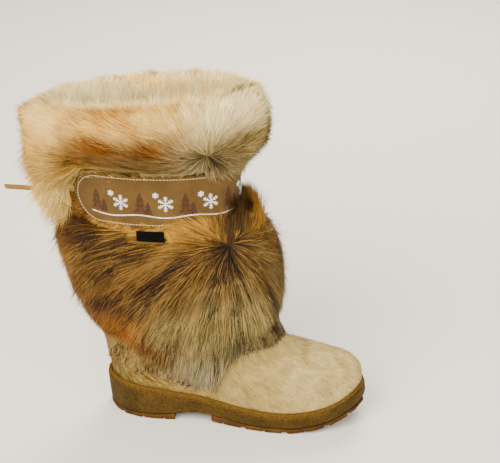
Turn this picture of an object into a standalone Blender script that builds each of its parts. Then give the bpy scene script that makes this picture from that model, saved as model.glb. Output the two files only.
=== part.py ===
"""Fur mukluk boot for the right foot: a hide upper on a moulded rubber cup sole, long fur round the shaft
and the collar, a pinked suede band round the waist and a flat thong tied behind.

Metres, +Z up. The toe points along +X, the outer side of the foot faces -Y and the inner side +Y.
The origin lies on the floor under the middle of the heel.
"""

import math
import random

import bmesh
import bpy
from mathutils import Vector

# Sole
SOLE_LENGTH = 0.284
BALL_WIDTH = 0.106
HEEL_SETBACK = 0.037  # from the back of the tread to the origin
HEEL_RAKE = 0.0055  # how far the rim stands out behind the tread
HEEL_SEAT = 0.0345  # height of the footbed under the heel
BALL_SEAT = 0.0145  # height of the footbed under the ball
TOE_SPRING = 0.0225
TREAD_THICKNESS = 0.0055
ARCH_RISE = 0.0045
RIM_DEPTH = 0.0085  # lip of the cup above the footbed
RIM_WALL = 0.006
LIP_HEIGHT = 0.0058
CUP_EDGE = 0.0015  # bevel along the cup's lower edge
SIDE_DRAFT = 0.0012  # how far the cup's side leans in up to the lip
LIP_STEP = 0.0012  # how far the lip stands back from the side
LIP_LEDGE = 0.0004  # rise of the ledge under the lip
LIP_ROUND = 0.0016  # height of the lip's rounded outer edge
LIP_EASE = 0.0008  # bevel along the lip's inner edge
TREAD_BEVEL = 0.0012
GROOVE_DEPTH = 0.0032
GROOVE_PITCH = 0.0228
END_LUG = 0.55  # lug at a tread's straight end, to the middle of its first groove, as a share of the pitch
NARROW_GROOVE = 0.003
WIDE_GROOVE = 0.0062
FORE_GROOVES = 7
HEEL_GROOVES = 3

# Upper
HIDE_WALL = 0.0028
INSTEP_HEIGHT = 0.064  # from the rim of the sole to the instep
COLLAR_HEIGHT = 0.356
COLLAR_LENGTH = 0.202
COLLAR_WIDTH = 0.092
INSOLE_THICKNESS = 0.0045
INSOLE_ROUND = 0.0008
SHAFT_FULLNESS = 0.92  # power of the sine across the shaft: 1 is an ellipse, less is fuller at front and back

# Fur
SHAFT_FUR_DEPTH = 0.026
CUFF_FUR_DEPTH = 0.026
CUFF_CROWN = 0.010  # fur standing above the hide's edge
CUFF_TURN_IN = 0.036  # how far the fur facing runs down inside the collar
CUFF_LINING_DEPTH = 0.012
LOCK_LENGTH = 0.038
LOCK_WIDTH = 0.017
LOCK_THICKNESS = 0.0062

# Suede band, label and thong
BAND_HEIGHT = 0.057
BAND_THICKNESS = 0.0014
BAND_LEVEL = 0.757  # middle of the band as a share of the collar's height
BAND_LENGTH = 0.372  # round the front, from end to end
PINK_PITCH = 0.0105
PINK_DEPTH = 0.0028
LABEL_LENGTH = 0.031
LABEL_PLACE = 0.252  # share of the way round from the back, over the outer side
LABEL_DROP = 0.0085
LABEL_THICKNESS = 0.0008
LABEL_LIFT = 0.0012  # of the label over the fur that it lies on
THONG_WIDTH = 0.0052
THONG_THICKNESS = 0.0019
KNOT_SIZE = 0.0085
KNOT_SQUASH = (0.96, 1.25, 0.86)  # deep, wide and tall as shares of KNOT_SIZE
LACE_CHANNEL = 0.011  # height of the parting in the fur where the thong comes out
LACE_DROP = 0.0200  # middle of the parting under the middle of the band

FIT = 0.0003  # gap between pieces that meet
LAYER_FIT = 0.0009  # gap between curved layers whose facets differ
OVER_BAND = BAND_THICKNESS + 2 * LAYER_FIT  # least depth of fur, clear of the band
AROUND = 34  # columns round the sole, the upper and all that lies on it

# The sole's plan.
# station from heel back to toe, and half widths on the outer and the inner side as shares of BALL_WIDTH,
# divided by the ellipse of the same length
SOLE_PLAN = (
    (0.00, 0.560, 0.560),
    (0.06, 0.552, 0.552),
    (0.14, 0.497, 0.490),
    (0.25, 0.412, 0.385),
    (0.38, 0.381, 0.312),
    (0.50, 0.430, 0.352),
    (0.62, 0.505, 0.450),
    (0.70, 0.545, 0.505),
    (0.80, 0.588, 0.585),
    (0.90, 0.622, 0.668),
    (1.00, 0.620, 0.700),
)

# The sole's side view.
# station, lift of the tread as a share of TOE_SPRING, share of the heel seat, share of ARCH_RISE
SOLE_SIDE = (
    (0.00, 0.13, 1.00, 0.00),
    (0.05, 0.00, 0.96, 0.00),
    (0.15, 0.00, 0.80, 0.00),
    (0.26, 0.00, 0.58, 0.00),
    (0.29, 0.05, 0.50, 1.00),
    (0.40, 0.16, 0.24, 1.00),
    (0.50, 0.00, 0.08, 0.00),
    (0.62, 0.00, 0.00, 0.00),
    (0.71, 0.00, 0.00, 0.00),
    (0.80, 0.13, 0.00, 0.00),
    (0.88, 0.36, 0.00, 0.00),
    (0.94, 0.64, 0.00, 0.00),
    (1.00, 1.00, 0.02, 0.00),
)
HEEL_BREAST = 0.268  # station where the heel's tread stops
TREAD_START = 0.412  # station where the forefoot's tread starts

# Contours of the foot part of the upper, from the sole's rim up.
# back and front as shares of SOLE_LENGTH from the origin, half widths as shares of BALL_WIDTH,
# narrowing towards the toe, share of the sole's own plan, and heights over the rim as shares of INSTEP_HEIGHT
FOOT_ROWS = (
    ("over_rim", -0.1290, 0.8530, 0.440, 0.415, 0.00, 1.00, 0.13, 0.13, 0.12),
    ("toe_wall", -0.1270, 0.8460, 0.440, 0.412, 0.00, 1.00, 0.34, 0.34, 0.27),
    ("toe_box", -0.1280, 0.8220, 0.402, 0.378, 0.05, 0.85, 0.53, 0.54, 0.46),
    ("vamp", -0.1340, 0.7680, 0.365, 0.345, 0.16, 0.55, 0.70, 0.72, 0.65),
    ("instep", -0.1430, 0.6950, 0.352, 0.335, 0.24, 0.28, 0.87, 0.90, 0.83),
)

# Contours of the shaft.
# back and front as shares of COLLAR_LENGTH from the origin, half widths as shares of half COLLAR_WIDTH,
# narrowing towards the front, and heights as shares of COLLAR_HEIGHT at back, side and front
SHAFT_ROWS = (
    ("throat", -0.223, 0.862, 0.830, 0.800, 0.26, 0.315, 0.270, 0.232),
    ("ankle_low", -0.240, 0.765, 0.875, 0.845, 0.16, 0.353, 0.312, 0.268),
    ("ankle", -0.260, 0.690, 0.930, 0.900, 0.08, 0.396, 0.360, 0.325),
    ("calf_low", -0.280, 0.640, 0.965, 0.950, 0.04, 0.444, 0.424, 0.405),
    ("calf", -0.304, 0.612, 0.985, 0.985, 0.00, 0.515, 0.507, 0.500),
    ("calf_high", -0.332, 0.575, 1.000, 1.000, 0.00, 0.605, 0.605, 0.600),
    ("waist_low", -0.352, 0.540, 1.000, 1.000, 0.00, 0.695, 0.690, 0.685),
    ("waist", -0.371, 0.528, 1.000, 1.000, 0.00, 0.755, 0.752, 0.750),
    ("cuff_low", -0.411, 0.538, 1.000, 1.000, 0.00, 0.860, 0.868, 0.872),
    ("collar", -0.455, 0.556, 1.000, 1.000, 0.00, 0.972, 1.000, 1.024),
)

# Section of the shaft's fur, from its lower hem to its upper edge.
# share of the way up, depth at the back, at the sides and in front as shares of SHAFT_FUR_DEPTH
SHAFT_FUR_ROWS = (
    (0.00, 0.09, 0.09, 0.09),
    (0.05, 0.18, 0.24, 0.20),
    (0.13, 0.25, 0.36, 0.44),
    (0.22, 0.28, 0.46, 0.70),
    (0.33, 0.30, 0.56, 0.92),
    (0.46, 0.36, 0.64, 1.08),
    (0.60, 0.50, 0.72, 1.18),
    (0.74, 0.70, 0.78, 1.22),
    (0.87, 0.82, 0.70, 1.06),
    (0.96, 0.56, 0.36, 0.64),
    (1.00, 0.16, 0.09, 0.16),
)

# The side of the shaft's fur that lies on the hide, from its upper edge to its hem.
# share of the way up, and gap to the hide as a multiple of LAYER_FIT, which is wider where the slanting hem
# twists the facets
SHAFT_BACKING_ROWS = (
    (1.00, 1.0),
    (0.85, 1.0),
    (0.70, 1.0),
    (0.57, 1.2),
    (0.47, 1.8),
    (0.39, 2.8),
    (0.32, 3.6),
    (0.26, 3.8),
    (0.20, 3.4),
    (0.14, 2.4),
    (0.07, 1.5),
    (0.00, 1.0),
)

# Lower hem of the shaft's fur.
# share of the way from the back line to the toe line, contour of the upper counted from "over_rim"
HEM_ROWS = (
    (0.00, 1.2),
    (0.20, 0.8),
    (0.40, 0.2),
    (0.50, 2.6),
    (0.60, 4.0),
    (0.77, 5.0),
    (1.00, 6.0),
)

# Rows of locks on the shaft and on the cuff.
# share of the way up, share of their length that runs down, share that runs back round the leg
SHAFT_LOCK_ROWS = (
    (0.24, 0.90, 0.35),
    (0.42, 0.85, 0.50),
    (0.60, 0.75, 0.65),
    (0.78, 0.65, 0.75),
    (0.95, 0.70, 0.70),
)
CUFF_LOCK_ROWS = (
    (0.40, 0.95, 0.25),
    (0.70, 0.85, 0.50),
    (0.96, 0.12, 0.95),
)
SHAFT_LOCKS = 14  # in a row
CUFF_LOCKS = 14

# Section of the cuff's fur outside the collar, from its lower edge past the hide's edge.
# share of the way up to the hide's edge, depth as a share of CUFF_FUR_DEPTH
CUFF_ROWS = (
    (0.00, 0.12),
    (0.09, 0.60),
    (0.26, 0.96),
    (0.50, 1.10),
    (0.80, 1.04),
    (1.00, 0.78),
    (1.15, 0.40),
)

# The cuff's fur over the crown: rise as a share of CUFF_CROWN, depth as a share of CUFF_FUR_DEPTH.
CROWN_ROWS = (
    (0.70, 0.42),
    (1.00, 0.02),
)

# The cuff's fur inside the collar: rise over the hide's edge as a share of CUFF_CROWN, drop under it as a
# share of CUFF_TURN_IN, depth as a share of the lining's.
LINING_ROWS = (
    (0.60, 0.00, 0.64),
    (0.00, 0.20, 1.00),
    (0.00, 0.85, 0.84),
)

# Route of the thong's free end, chosen by hand: metres behind the knot and above its middle.
LACE_ROUTE = (
    (0.0000, 0.0000),
    (0.0040, 0.0008),
    (0.0080, 0.0022),
    (0.0120, 0.0038),
    (0.0160, 0.0053),
    (0.0200, 0.0065),
    (0.0240, 0.0074),
    (0.0280, 0.0080),
    (0.0320, 0.0084),
    (0.0360, 0.0087),
    (0.0400, 0.0089),
    (0.0440, 0.0090),
    (0.0480, 0.0091),
    (0.0520, 0.0092),
    (0.0560, 0.0093),
    (0.0600, 0.0094),
)
THONG_SLANT = 0.0024  # of the diagonal cut at its end

LOOKS = {
    "hide": ((0.62, 0.47, 0.30), 0.85),
    "crepe_rubber": ((0.40, 0.22, 0.07), 0.70),
    "gum_rubber": ((0.50, 0.25, 0.08), 0.65),
    "fleece": ((0.70, 0.66, 0.58), 0.95),
    "long_fur": ((0.45, 0.29, 0.13), 0.90),
    "cuff_fur": ((0.74, 0.58, 0.34), 0.90),
    "suede": ((0.42, 0.29, 0.16), 0.92),
    "label_cloth": ((0.02, 0.02, 0.025), 0.80),
    "thong_suede": ((0.50, 0.31, 0.14), 0.88),
}


def clear_scene():
    for item in list(bpy.data.objects):
        bpy.data.objects.remove(item)


def material(name):
    made = bpy.data.materials.get(name)
    if made:
        return made
    colour, roughness = LOOKS[name]
    made = bpy.data.materials.new(name)
    made.use_nodes = True
    shader = made.node_tree.nodes["Principled BSDF"]
    shader.inputs["Base Color"].default_value = (*colour, 1.0)
    shader.inputs["Roughness"].default_value = roughness
    shader.inputs["Metallic"].default_value = 0.0
    return made


def add_object(name, bm, look, smooth_angle=40.0):
    """Turns a closed bmesh into a named object with its normals out."""
    bmesh.ops.recalc_face_normals(bm, faces=bm.faces)
    mesh = bpy.data.meshes.new(name)
    bm.to_mesh(mesh)
    bm.free()
    mesh.materials.append(material(look))
    mesh.shade_smooth()
    mesh.set_sharp_from_angle(angle=math.radians(smooth_angle))
    item = bpy.data.objects.new(name, mesh)
    bpy.context.scene.collection.objects.link(item)
    return item


def table_value(table, column, at):
    """Reads a column by a monotone cubic, so that flat stretches of the table stay flat."""
    stations = [row[0] for row in table]
    values = [row[column] for row in table]
    last = len(table) - 1
    if at <= stations[0]:
        return values[0]
    if at >= stations[last]:
        return values[last]
    slopes = [(values[i + 1] - values[i]) / (stations[i + 1] - stations[i]) for i in range(last)]

    def tangent(i):
        if i in (0, last):
            return slopes[0] if i == 0 else slopes[last - 1]
        before, after = slopes[i - 1], slopes[i]
        return 0.0 if before * after <= 0 else 2 * before * after / (before + after)

    i = max(k for k in range(last) if stations[k] <= at)
    step = stations[i + 1] - stations[i]
    t = (at - stations[i]) / step
    rise = values[i + 1] - values[i]
    m0, m1 = tangent(i) * step, tangent(i + 1) * step
    return values[i] + m0 * t + (3 * rise - 2 * m0 - m1) * t**2 + (m0 + m1 - 2 * rise) * t**3


def mix(a, b, share):
    return a + (b - a) * share


# The sole's surfaces, each by station
def station_of(x):
    return min(1.0, max(0.0, (x + HEEL_SETBACK) / SOLE_LENGTH))


def station_x(station):
    return station * SOLE_LENGTH - HEEL_SETBACK


def turn_station(turn):
    return (1 - math.cos(turn)) / 2


def side_value(column, station):
    """Column of the side view, straight between the sole's own stations: stacked layers then share facets."""
    step = 2 * math.pi / AROUND
    i = math.floor(math.acos(1 - 2 * station) / step)
    low, high = turn_station(i * step), turn_station((i + 1) * step)
    share = (station - low) / (high - low)
    return mix(table_value(SOLE_SIDE, column, low), table_value(SOLE_SIDE, column, high), share)


def underside(station):
    return TOE_SPRING * side_value(1, station)


def unit_bottom(station):
    return underside(station) + TREAD_THICKNESS + ARCH_RISE * side_value(3, station)


def seat(station):
    return underside(station) + mix(BALL_SEAT, HEEL_SEAT, side_value(2, station))


def rim(station):
    return seat(station) + RIM_DEPTH


def plan_point(turn, inset=0.0):
    """Point of the sole's outline. turn is 0 at the heel and pi at the toe, by way of the outer side."""

    def on_edge(angle):
        station = turn_station(angle)
        column, side = (1, -1) if math.sin(angle) >= 0 else (2, 1)
        half = BALL_WIDTH * table_value(SOLE_PLAN, column, station) * abs(math.sin(angle))
        return Vector((station_x(station), side * half, 0.0))

    nudge = 1e-3
    along = (on_edge(turn + nudge) - on_edge(turn - nudge)).normalized()
    inward = Vector((-along.y, along.x, 0.0))
    return on_edge(turn) + inward * inset


def full_turns(count):
    return [2 * math.pi * i / count for i in range(count)]


def loop_at(turns, inset, height):
    """Loop of the sole's outline, moved in by inset, at a height that is a function of the station.

    The heel's back slopes out from the tread to the rim.
    """
    points = []
    for turn in turns:
        point = plan_point(turn, inset)
        station = station_of(point.x)
        point.z = height(station)
        rise = (point.z - underside(station)) / (rim(station) - underside(station))
        fade = max(0.0, 1 - station / HEEL_BREAST) ** 2
        point.x -= HEEL_RAKE * rise * fade
        points.append(point)
    return points


# Mesh helpers
def bridge(bm, lower, upper):
    """Quads between two loops of equal length."""
    count = len(lower)
    for i in range(count):
        j = (i + 1) % count
        bm.faces.new((lower[i], lower[j], upper[j], upper[i]))


def cap(bm, loop):
    """Closes a loop whose first vertex is its tip with strips from side to side."""
    count = len(loop)
    bm.faces.new((loop[0], loop[1], loop[count - 1]))
    i = 1
    while i + 1 < count - i - 1:
        bm.faces.new((loop[i], loop[i + 1], loop[count - i - 1], loop[count - i]))
        i += 1
    if i + 1 == count - i - 1:
        bm.faces.new((loop[i], loop[i + 1], loop[count - i]))


def add_loops(bm, loops):
    return [[bm.verts.new(point) for point in loop] for loop in loops]


def capped_loft(name, loops, look, smooth_angle=40.0):
    bm = bmesh.new()
    rings = add_loops(bm, loops)
    for lower, upper in zip(rings, rings[1:]):
        bridge(bm, lower, upper)
    cap(bm, rings[0])
    cap(bm, rings[-1])
    return add_object(name, bm, look, smooth_angle)


def cut_away(item, cutters):
    """Takes the cutters away from an object and keeps the result as its mesh."""
    for cutter in cutters:
        change = item.modifiers.new("cut", "BOOLEAN")
        change.operation = "DIFFERENCE"
        change.object = cutter
        cutter.hide_render = True
        cutter.display_type = "WIRE"


def box_cutter(name, low, high):
    bm = bmesh.new()
    bmesh.ops.create_cube(bm, size=1.0)
    size = high - low
    bmesh.ops.scale(bm, vec=size, verts=bm.verts)
    bmesh.ops.translate(bm, vec=(low + high) / 2, verts=bm.verts)
    item = add_object(name, bm, "gum_rubber")
    item.hide_render = True
    item.display_type = "WIRE"
    return item


# Sole pieces
def make_cup_sole():
    """The moulded cup: a side wall with a smooth lip, a raised arch and a hollow that holds the upper."""
    turns = full_turns(AROUND)
    lip_face = SIDE_DRAFT + LIP_STEP

    def side(share):
        return lambda s: mix(unit_bottom(s) + CUP_EDGE, rim(s) - LIP_HEIGHT, share)

    def under_rim(depth):
        return lambda s: rim(s) - depth

    profile = (
        (CUP_EDGE, unit_bottom),
        (0.0, side(0.0)),
        (SIDE_DRAFT / 3, side(0.5)),
        (SIDE_DRAFT, side(1.0)),
        (lip_face, under_rim(LIP_HEIGHT - LIP_LEDGE)),
        (lip_face, under_rim(LIP_ROUND)),
        (lip_face + LIP_ROUND * 0.62, under_rim(LIP_ROUND / 8)),
        (RIM_WALL - LIP_EASE, rim),
        (RIM_WALL, under_rim(LIP_EASE)),
        (RIM_WALL, seat),
    )
    loops = [loop_at(turns, inset, height) for inset, height in profile]
    return capped_loft("cup_sole", loops, "crepe_rubber")


def tread_loops(turns):
    def top(station):
        return unit_bottom(station) - FIT

    def above_floor(rise):
        return lambda s: mix(underside(s), top(s), rise)

    profile = (
        (TREAD_BEVEL, underside),
        (0.0, above_floor(0.25)),
        (0.0, above_floor(0.8)),
        (TREAD_BEVEL, top),
    )
    return [loop_at(turns, inset, height) for inset, height in profile]


def tread_turns(first, last):
    """Turns for one tread, from its round end to its straight end and back, on the sole's own columns."""
    start, end = math.acos(1 - 2 * first), math.acos(1 - 2 * last)
    low, high = min(start, end), max(start, end)
    step = 2 * math.pi / AROUND
    own = [i * step for i in range(AROUND // 2 + 1) if low - step / 9 < i * step < high - step / 3]
    own = [turn for turn in own if abs(turn - end) > step / 3]
    outer = sorted(own, reverse=start > end) + [end]
    return outer + [-turn for turn in reversed(outer[1:])]


def grooves(name, first_x, widths):
    """Cross grooves in a tread. They follow its underside, so that every lug is as tall as the next."""
    made = []
    reach = BALL_WIDTH
    for i, width in enumerate(widths):
        middle = first_x + i * GROOVE_PITCH
        under = underside(station_of(middle))
        low = Vector((middle - width / 2, -reach, under - GROOVE_DEPTH))
        high = Vector((middle + width / 2, reach, under + GROOVE_DEPTH))
        made.append(box_cutter(f"{name}_groove_{i}", low, high))
    return made


def make_heel_tread():
    turns = tread_turns(0.0, HEEL_BREAST)
    item = capped_loft("heel_tread", tread_loops(turns), "gum_rubber")
    widths = [NARROW_GROOVE] * HEEL_GROOVES
    first = station_x(HEEL_BREAST) - GROOVE_PITCH * (HEEL_GROOVES - 1 + END_LUG)
    cut_away(item, grooves("heel", first, widths))


def make_forefoot_tread():
    turns = tread_turns(1.0, TREAD_START)
    item = capped_loft("forefoot_tread", tread_loops(turns), "gum_rubber")
    widths = [WIDE_GROOVE if i % 2 else NARROW_GROOVE for i in range(FORE_GROOVES)]
    first = station_x(TREAD_START) + GROOVE_PITCH * END_LUG
    cut_away(item, grooves("fore", first, widths))


def make_insole():
    """A fleece-topped pad lying in the cup inside the upper."""
    turns = full_turns(AROUND)
    inset = RIM_WALL + HIDE_WALL + 3 * LAYER_FIT
    profile = (
        (inset, lambda s: seat(s) + LAYER_FIT),
        (inset, lambda s: seat(s) + INSOLE_THICKNESS - INSOLE_ROUND),
        (inset + INSOLE_ROUND, lambda s: seat(s) + INSOLE_THICKNESS),
    )
    loops = [loop_at(turns, inset, height) for inset, height in profile]
    return capped_loft("insole", loops, "fleece")


# The upper's outer surface, as rings joined by a smooth curve
def foot_ring(row):
    _, back, front, outer, inner, narrow, own_plan, rise_back, rise_side, rise_front = row
    points = []
    for turn in full_turns(AROUND):
        share = turn_station(turn)
        column, side, half = (1, -1, outer) if math.sin(turn) >= 0 else (2, 1, inner)
        plan = table_value(SOLE_PLAN, column, share) / table_value(SOLE_PLAN, column, 0.66)
        plain = 1 + narrow * math.cos(turn)
        x = mix(back, front, share) * SOLE_LENGTH
        y = side * half * BALL_WIDTH * abs(math.sin(turn)) * mix(plain, plan, own_plan)
        rise = INSTEP_HEIGHT * through_three(rise_back, rise_side, rise_front, share)
        points.append(Vector((x, y, rim(station_of(x)) + rise)))
    return points


def shaft_ring(row):
    _, back, front, outer, inner, narrow, high_back, high_side, high_front = row
    points = []
    for turn in full_turns(AROUND):
        share = turn_station(turn)
        side, half = (-1, outer) if math.sin(turn) >= 0 else (1, inner)
        x = mix(back, front, share) * COLLAR_LENGTH
        wide = half * COLLAR_WIDTH / 2
        y = side * wide * abs(math.sin(turn)) ** SHAFT_FULLNESS * (1 + narrow * math.cos(turn))
        z = COLLAR_HEIGHT * through_three(high_back, high_side, high_front, share)
        points.append(Vector((x, y, z)))
    return points


def through_three(first, middle, last, share):
    """Parabola through three values at 0, a half and 1."""
    return (
        first * (1 - share) * (1 - 2 * share)
        + middle * 4 * share * (1 - share)
        + last * share * (2 * share - 1)
    )


def upper_rows():
    turns = full_turns(AROUND)
    inset = RIM_WALL + LAYER_FIT
    in_cup = [
        loop_at(turns, inset, lambda s: seat(s) + LAYER_FIT + FIT),
        loop_at(turns, inset, lambda s: rim(s) - LIP_EASE / 2),
    ]
    return in_cup + [foot_ring(row) for row in FOOT_ROWS] + [shaft_ring(row) for row in SHAFT_ROWS]


class Skin:
    """The upper's outer surface: a point and a normal for any column and any level along the rows."""

    def __init__(self, rows):
        self.rows = rows
        self.top = len(rows) - 1
        self.band_level = row_level("waist")
        self.bare = [bare_strip(self, column) for column in range(AROUND)]

    def bare_edge(self, which, column):
        """Height of the lower (0) or upper (1) edge of the strip without fur, between two columns too."""
        i = math.floor(column)
        return mix(self.bare[i % AROUND][which], self.bare[(i + 1) % AROUND][which], column - i)

    def column_point(self, level, column):
        """Catmull-Rom curve through one column of the rows. Over the collar it goes straight on."""
        column %= AROUND
        if level >= self.top:
            end, before = self.rows[self.top][column], self.rows[self.top - 1][column]
            return end + (end - before) * (level - self.top)
        i = int(max(level, 0.0))
        t = level - i
        p1, p2 = self.rows[i][column], self.rows[i + 1][column]
        if i == 0:
            return p1.lerp(p2, t)
        p0 = self.rows[i - 1][column] if i > 1 else p1
        p3 = self.rows[min(i + 2, self.top)][column]
        return (
            2 * p1
            + (p2 - p0) * t
            + (2 * p0 - 5 * p1 + 4 * p2 - p3) * t**2
            + (3 * p1 - p0 - 3 * p2 + p3) * t**3
        ) / 2

    def point(self, level, column):
        """Between two whole columns it follows the chord's smooth neighbour curve."""
        i = math.floor(column)
        t = column - i
        if t == 0:
            return self.column_point(level, i)
        p0, p1, p2, p3 = (self.column_point(level, i + k) for k in (-1, 0, 1, 2))
        return (
            2 * p1
            + (p2 - p0) * t
            + (2 * p0 - 5 * p1 + 4 * p2 - p3) * t**2
            + (3 * p1 - p0 - 3 * p2 + p3) * t**3
        ) / 2

    def normal(self, level, column):
        step = 0.05
        up = self.point(level + step, column) - self.point(max(level - step, 0.0), column)
        along = self.point(level, column + 0.5) - self.point(level, column - 0.5)
        return along.cross(up).normalized()

    def offset(self, level, column, depth):
        return self.point(level, column) + self.normal(level, column) * depth

    def level_at_height(self, height, column):
        """Level at which a column reaches a height, above the ankle, by halving."""
        low, high = 2.0, float(self.top) + 1.0
        for _ in range(24):
            middle = (low + high) / 2
            if self.point(middle, column).z < height:
                low = middle
            else:
                high = middle
        return (low + high) / 2


def row_level(name):
    names = [row[0] for row in FOOT_ROWS + SHAFT_ROWS]
    return 2 + names.index(name)


def make_upper(skin):
    """One hollow wall of hide, open at the collar and underneath, where the cup sole closes it."""
    bend, plain = row_level("toe_box"), row_level("calf_low")
    bent = [bend + k / 2 for k in range(2 * (plain - bend))]
    levels = list(range(bend)) + bent + list(range(plain, skin.top + 1))
    bm = bmesh.new()
    rings = add_loops(bm, [[skin.point(level, c) for c in range(AROUND)] for level in levels])
    for lower, upper in zip(rings, rings[1:]):
        bridge(bm, lower, upper)
    item = add_object("upper", bm, "hide", 60.0)
    wall = item.modifiers.new("wall", "SOLIDIFY")
    wall.thickness = HIDE_WALL
    wall.offset = -1.0
    wall.use_even_offset = True
    wall.use_rim = True


# The fur stops above and below the suede band
def band_middle():
    return BAND_LEVEL * COLLAR_HEIGHT


def waist_distance(skin, column):
    """Distance along the hide at the band's height, from the front line to a column."""
    steps = 24
    places = [mix(AROUND / 2, column, i / steps) for i in range(steps + 1)]
    points = [skin.point(skin.band_level, c) for c in places]
    return sum((b - a).length for a, b in zip(points, points[1:]))


def rounded_half(from_end, half):
    """Half height of a strip with round ends, at a distance from its end."""
    inside = min(max(from_end / half, 0.0), 1.0)
    return half * math.sqrt(1 - (1 - inside) ** 2)


def bare_strip(skin, column):
    """Heights between which the hide has no fur: the band's height in front, the lace's parting behind."""
    half = (BAND_HEIGHT + PINK_DEPTH) / 2 + LAYER_FIT
    reach = BAND_LENGTH / 2 + PINK_DEPTH
    by_band = max(rounded_half(reach - waist_distance(skin, column + k), half) for k in (-0.5, 0, 0.5))
    low = min(band_middle() - by_band, lace_height() - LACE_CHANNEL / 2)
    high = max(band_middle() + by_band, lace_height() + LACE_CHANNEL / 2)
    return (low, high) if by_band else (lace_height() - LACE_CHANNEL / 2, lace_height() + LACE_CHANNEL / 2)


def lace_height():
    return band_middle() - LACE_DROP


def three_depths(table, row_share, column):
    """Depth at a column from the back, side and front values of a table."""
    back, side, front = (table_value(table, k, row_share) for k in (1, 2, 3))
    return through_three(back, side, front, turn_station(2 * math.pi * column / AROUND))


def shaft_fur_span(skin, column):
    """Levels of the shaft fur's hem and upper edge at a column."""
    share = turn_station(2 * math.pi * column / AROUND)
    hem = row_level("over_rim") + table_value(HEM_ROWS, 1, share)
    return hem, skin.level_at_height(skin.bare_edge(0, column), column)


def shaft_fur_place(skin, level, column, rise=0.0):
    """Point on the outside of the shaft's fur."""
    hem, top = shaft_fur_span(skin, column)
    depth = SHAFT_FUR_DEPTH * three_depths(SHAFT_FUR_ROWS, (level - hem) / (top - hem), column)
    return skin.offset(level, column, max(depth + rise, OVER_BAND))


def cuff_span(skin, column):
    """Levels of the cuff fur's lower edge and of the hide's edge at a column."""
    return skin.level_at_height(skin.bare_edge(1, column), column), skin.top


def cuff_place(skin, level, column, rise=0.0):
    """Point on the outside of the cuff's fur."""
    low, top = cuff_span(skin, column)
    depth = CUFF_FUR_DEPTH * table_value(CUFF_ROWS, 1, (level - low) / (top - low))
    return skin.offset(level, column, max(depth + rise, OVER_BAND))


def sleeve_loops(skin, span, place, shares):
    """Loops round the leg at shares of the way up a fur sleeve, each point given by place."""
    levels = [[mix(*span(skin, c), share) for c in range(AROUND)] for share in shares]
    return [[place(skin, level, c) for c, level in enumerate(row)] for row in levels]


def hide_side(skin, span, rows):
    """Loops of a sleeve's inner side, by share of the way up and gap to the hide in LAYER_FITs."""
    made = []
    for share, gap in rows:
        made += sleeve_loops(skin, span, lambda k, level, c: k.offset(level, c, gap * LAYER_FIT), [share])
    return made


def edge_point(skin, column, rise, out):
    """Point by its height over the hide's edge and its distance out from the hide's outer face."""
    edge, below = skin.point(skin.top, column), skin.point(skin.top - 1, column)
    up = (edge - below).normalized()
    level = skin.top + rise / (edge - below).length
    foot = edge + up * rise if rise > 0 else skin.point(level, column)
    return foot + skin.normal(min(level, skin.top), column) * out


def over_the_edge(skin):
    """Loops of the cuff from its crown down inside the collar and back up to the hide's edge."""
    lining = -(HIDE_WALL + CUFF_LINING_DEPTH)
    wall = -(HIDE_WALL + LAYER_FIT)
    profile = [(CUFF_CROWN * rise, CUFF_FUR_DEPTH * depth) for rise, depth in CROWN_ROWS]
    for rise, drop, depth in LINING_ROWS:
        profile.append((CUFF_CROWN * rise - CUFF_TURN_IN * drop, lining * depth))
    profile += [(-CUFF_TURN_IN, wall - LAYER_FIT), (-CUFF_TURN_IN, wall)]
    profile += [(LAYER_FIT, wall), (LAYER_FIT, LAYER_FIT)]
    return [[edge_point(skin, c, rise, out) for c in range(AROUND)] for rise, out in profile]


def closed_sleeve(name, loops, look):
    """A sleeve whose section is closed too: the last loop joins the first."""
    bm = bmesh.new()
    rings = add_loops(bm, loops)
    for lower, upper in zip(rings, rings[1:] + rings[:1]):
        bridge(bm, lower, upper)
    return add_object(name, bm, look, 50.0)


def flow_tip(skin, level, column, down, back, length):
    """Level and column that a lock reaches from its root, lying down the leg and back round it."""
    reach = 0.2
    rise = (skin.point(level + reach, column) - skin.point(level - reach, column)).length / (2 * reach)
    round_leg = (skin.point(level, column + reach) - skin.point(level, column - reach)).length / (2 * reach)
    backward = -1 if column < AROUND / 2 else 1
    return level - down * length / rise, column + backward * back * length / round_leg


def lock_shape(skin, place, root, tip, width, lift):
    """Two three-sided rings and the tip of a lock: its root is sunk in the fur and its tip stands free."""
    section = ((1.0, -0.5), (0.0, 0.8), (-1.0, -0.5))
    rings = []
    for along, wide, rise in ((-0.08, 0.8, -1.0), (0.42, 1.0, 0.1)):
        level, column = mix(root[0], tip[0], along), mix(root[1], tip[1], along)
        ahead = mix(root[0], tip[0], along + 0.1), mix(root[1], tip[1], along + 0.1)
        flow = skin.point(*ahead) - skin.point(level, column)
        across = skin.normal(level, column).cross(flow).normalized() * width / 2 * wide
        corners = [place(skin, level, column, LOCK_THICKNESS * (rise + b)) for _, b in section]
        rings.append([corner + across * a for corner, (a, _) in zip(corners, section)])
    return rings, place(skin, *tip, lift)


def lock_roots(skin, span, rows, count, chance, keep_out):
    """Roots, tips and sizes of a sleeve's locks, in staggered rows."""
    made = []
    for r, (share, down, back) in enumerate(rows):
        for k in range(count):
            column = (k + 0.5 * (r % 2) + chance.uniform(-0.15, 0.15)) * AROUND / count
            level = mix(*span(skin, column), share + chance.uniform(-0.02, 0.02))
            length = LOCK_LENGTH * chance.uniform(0.85, 1.15)
            width = LOCK_WIDTH * chance.uniform(0.85, 1.15)
            lift = LOCK_THICKNESS * chance.uniform(0.7, 1.2)
            tip = flow_tip(skin, level, column, down, back, length)
            if not keep_out(skin, tip) and not keep_out(skin, (level, column)):
                made.append(((level, column), tip, width, lift))
    return made


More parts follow.
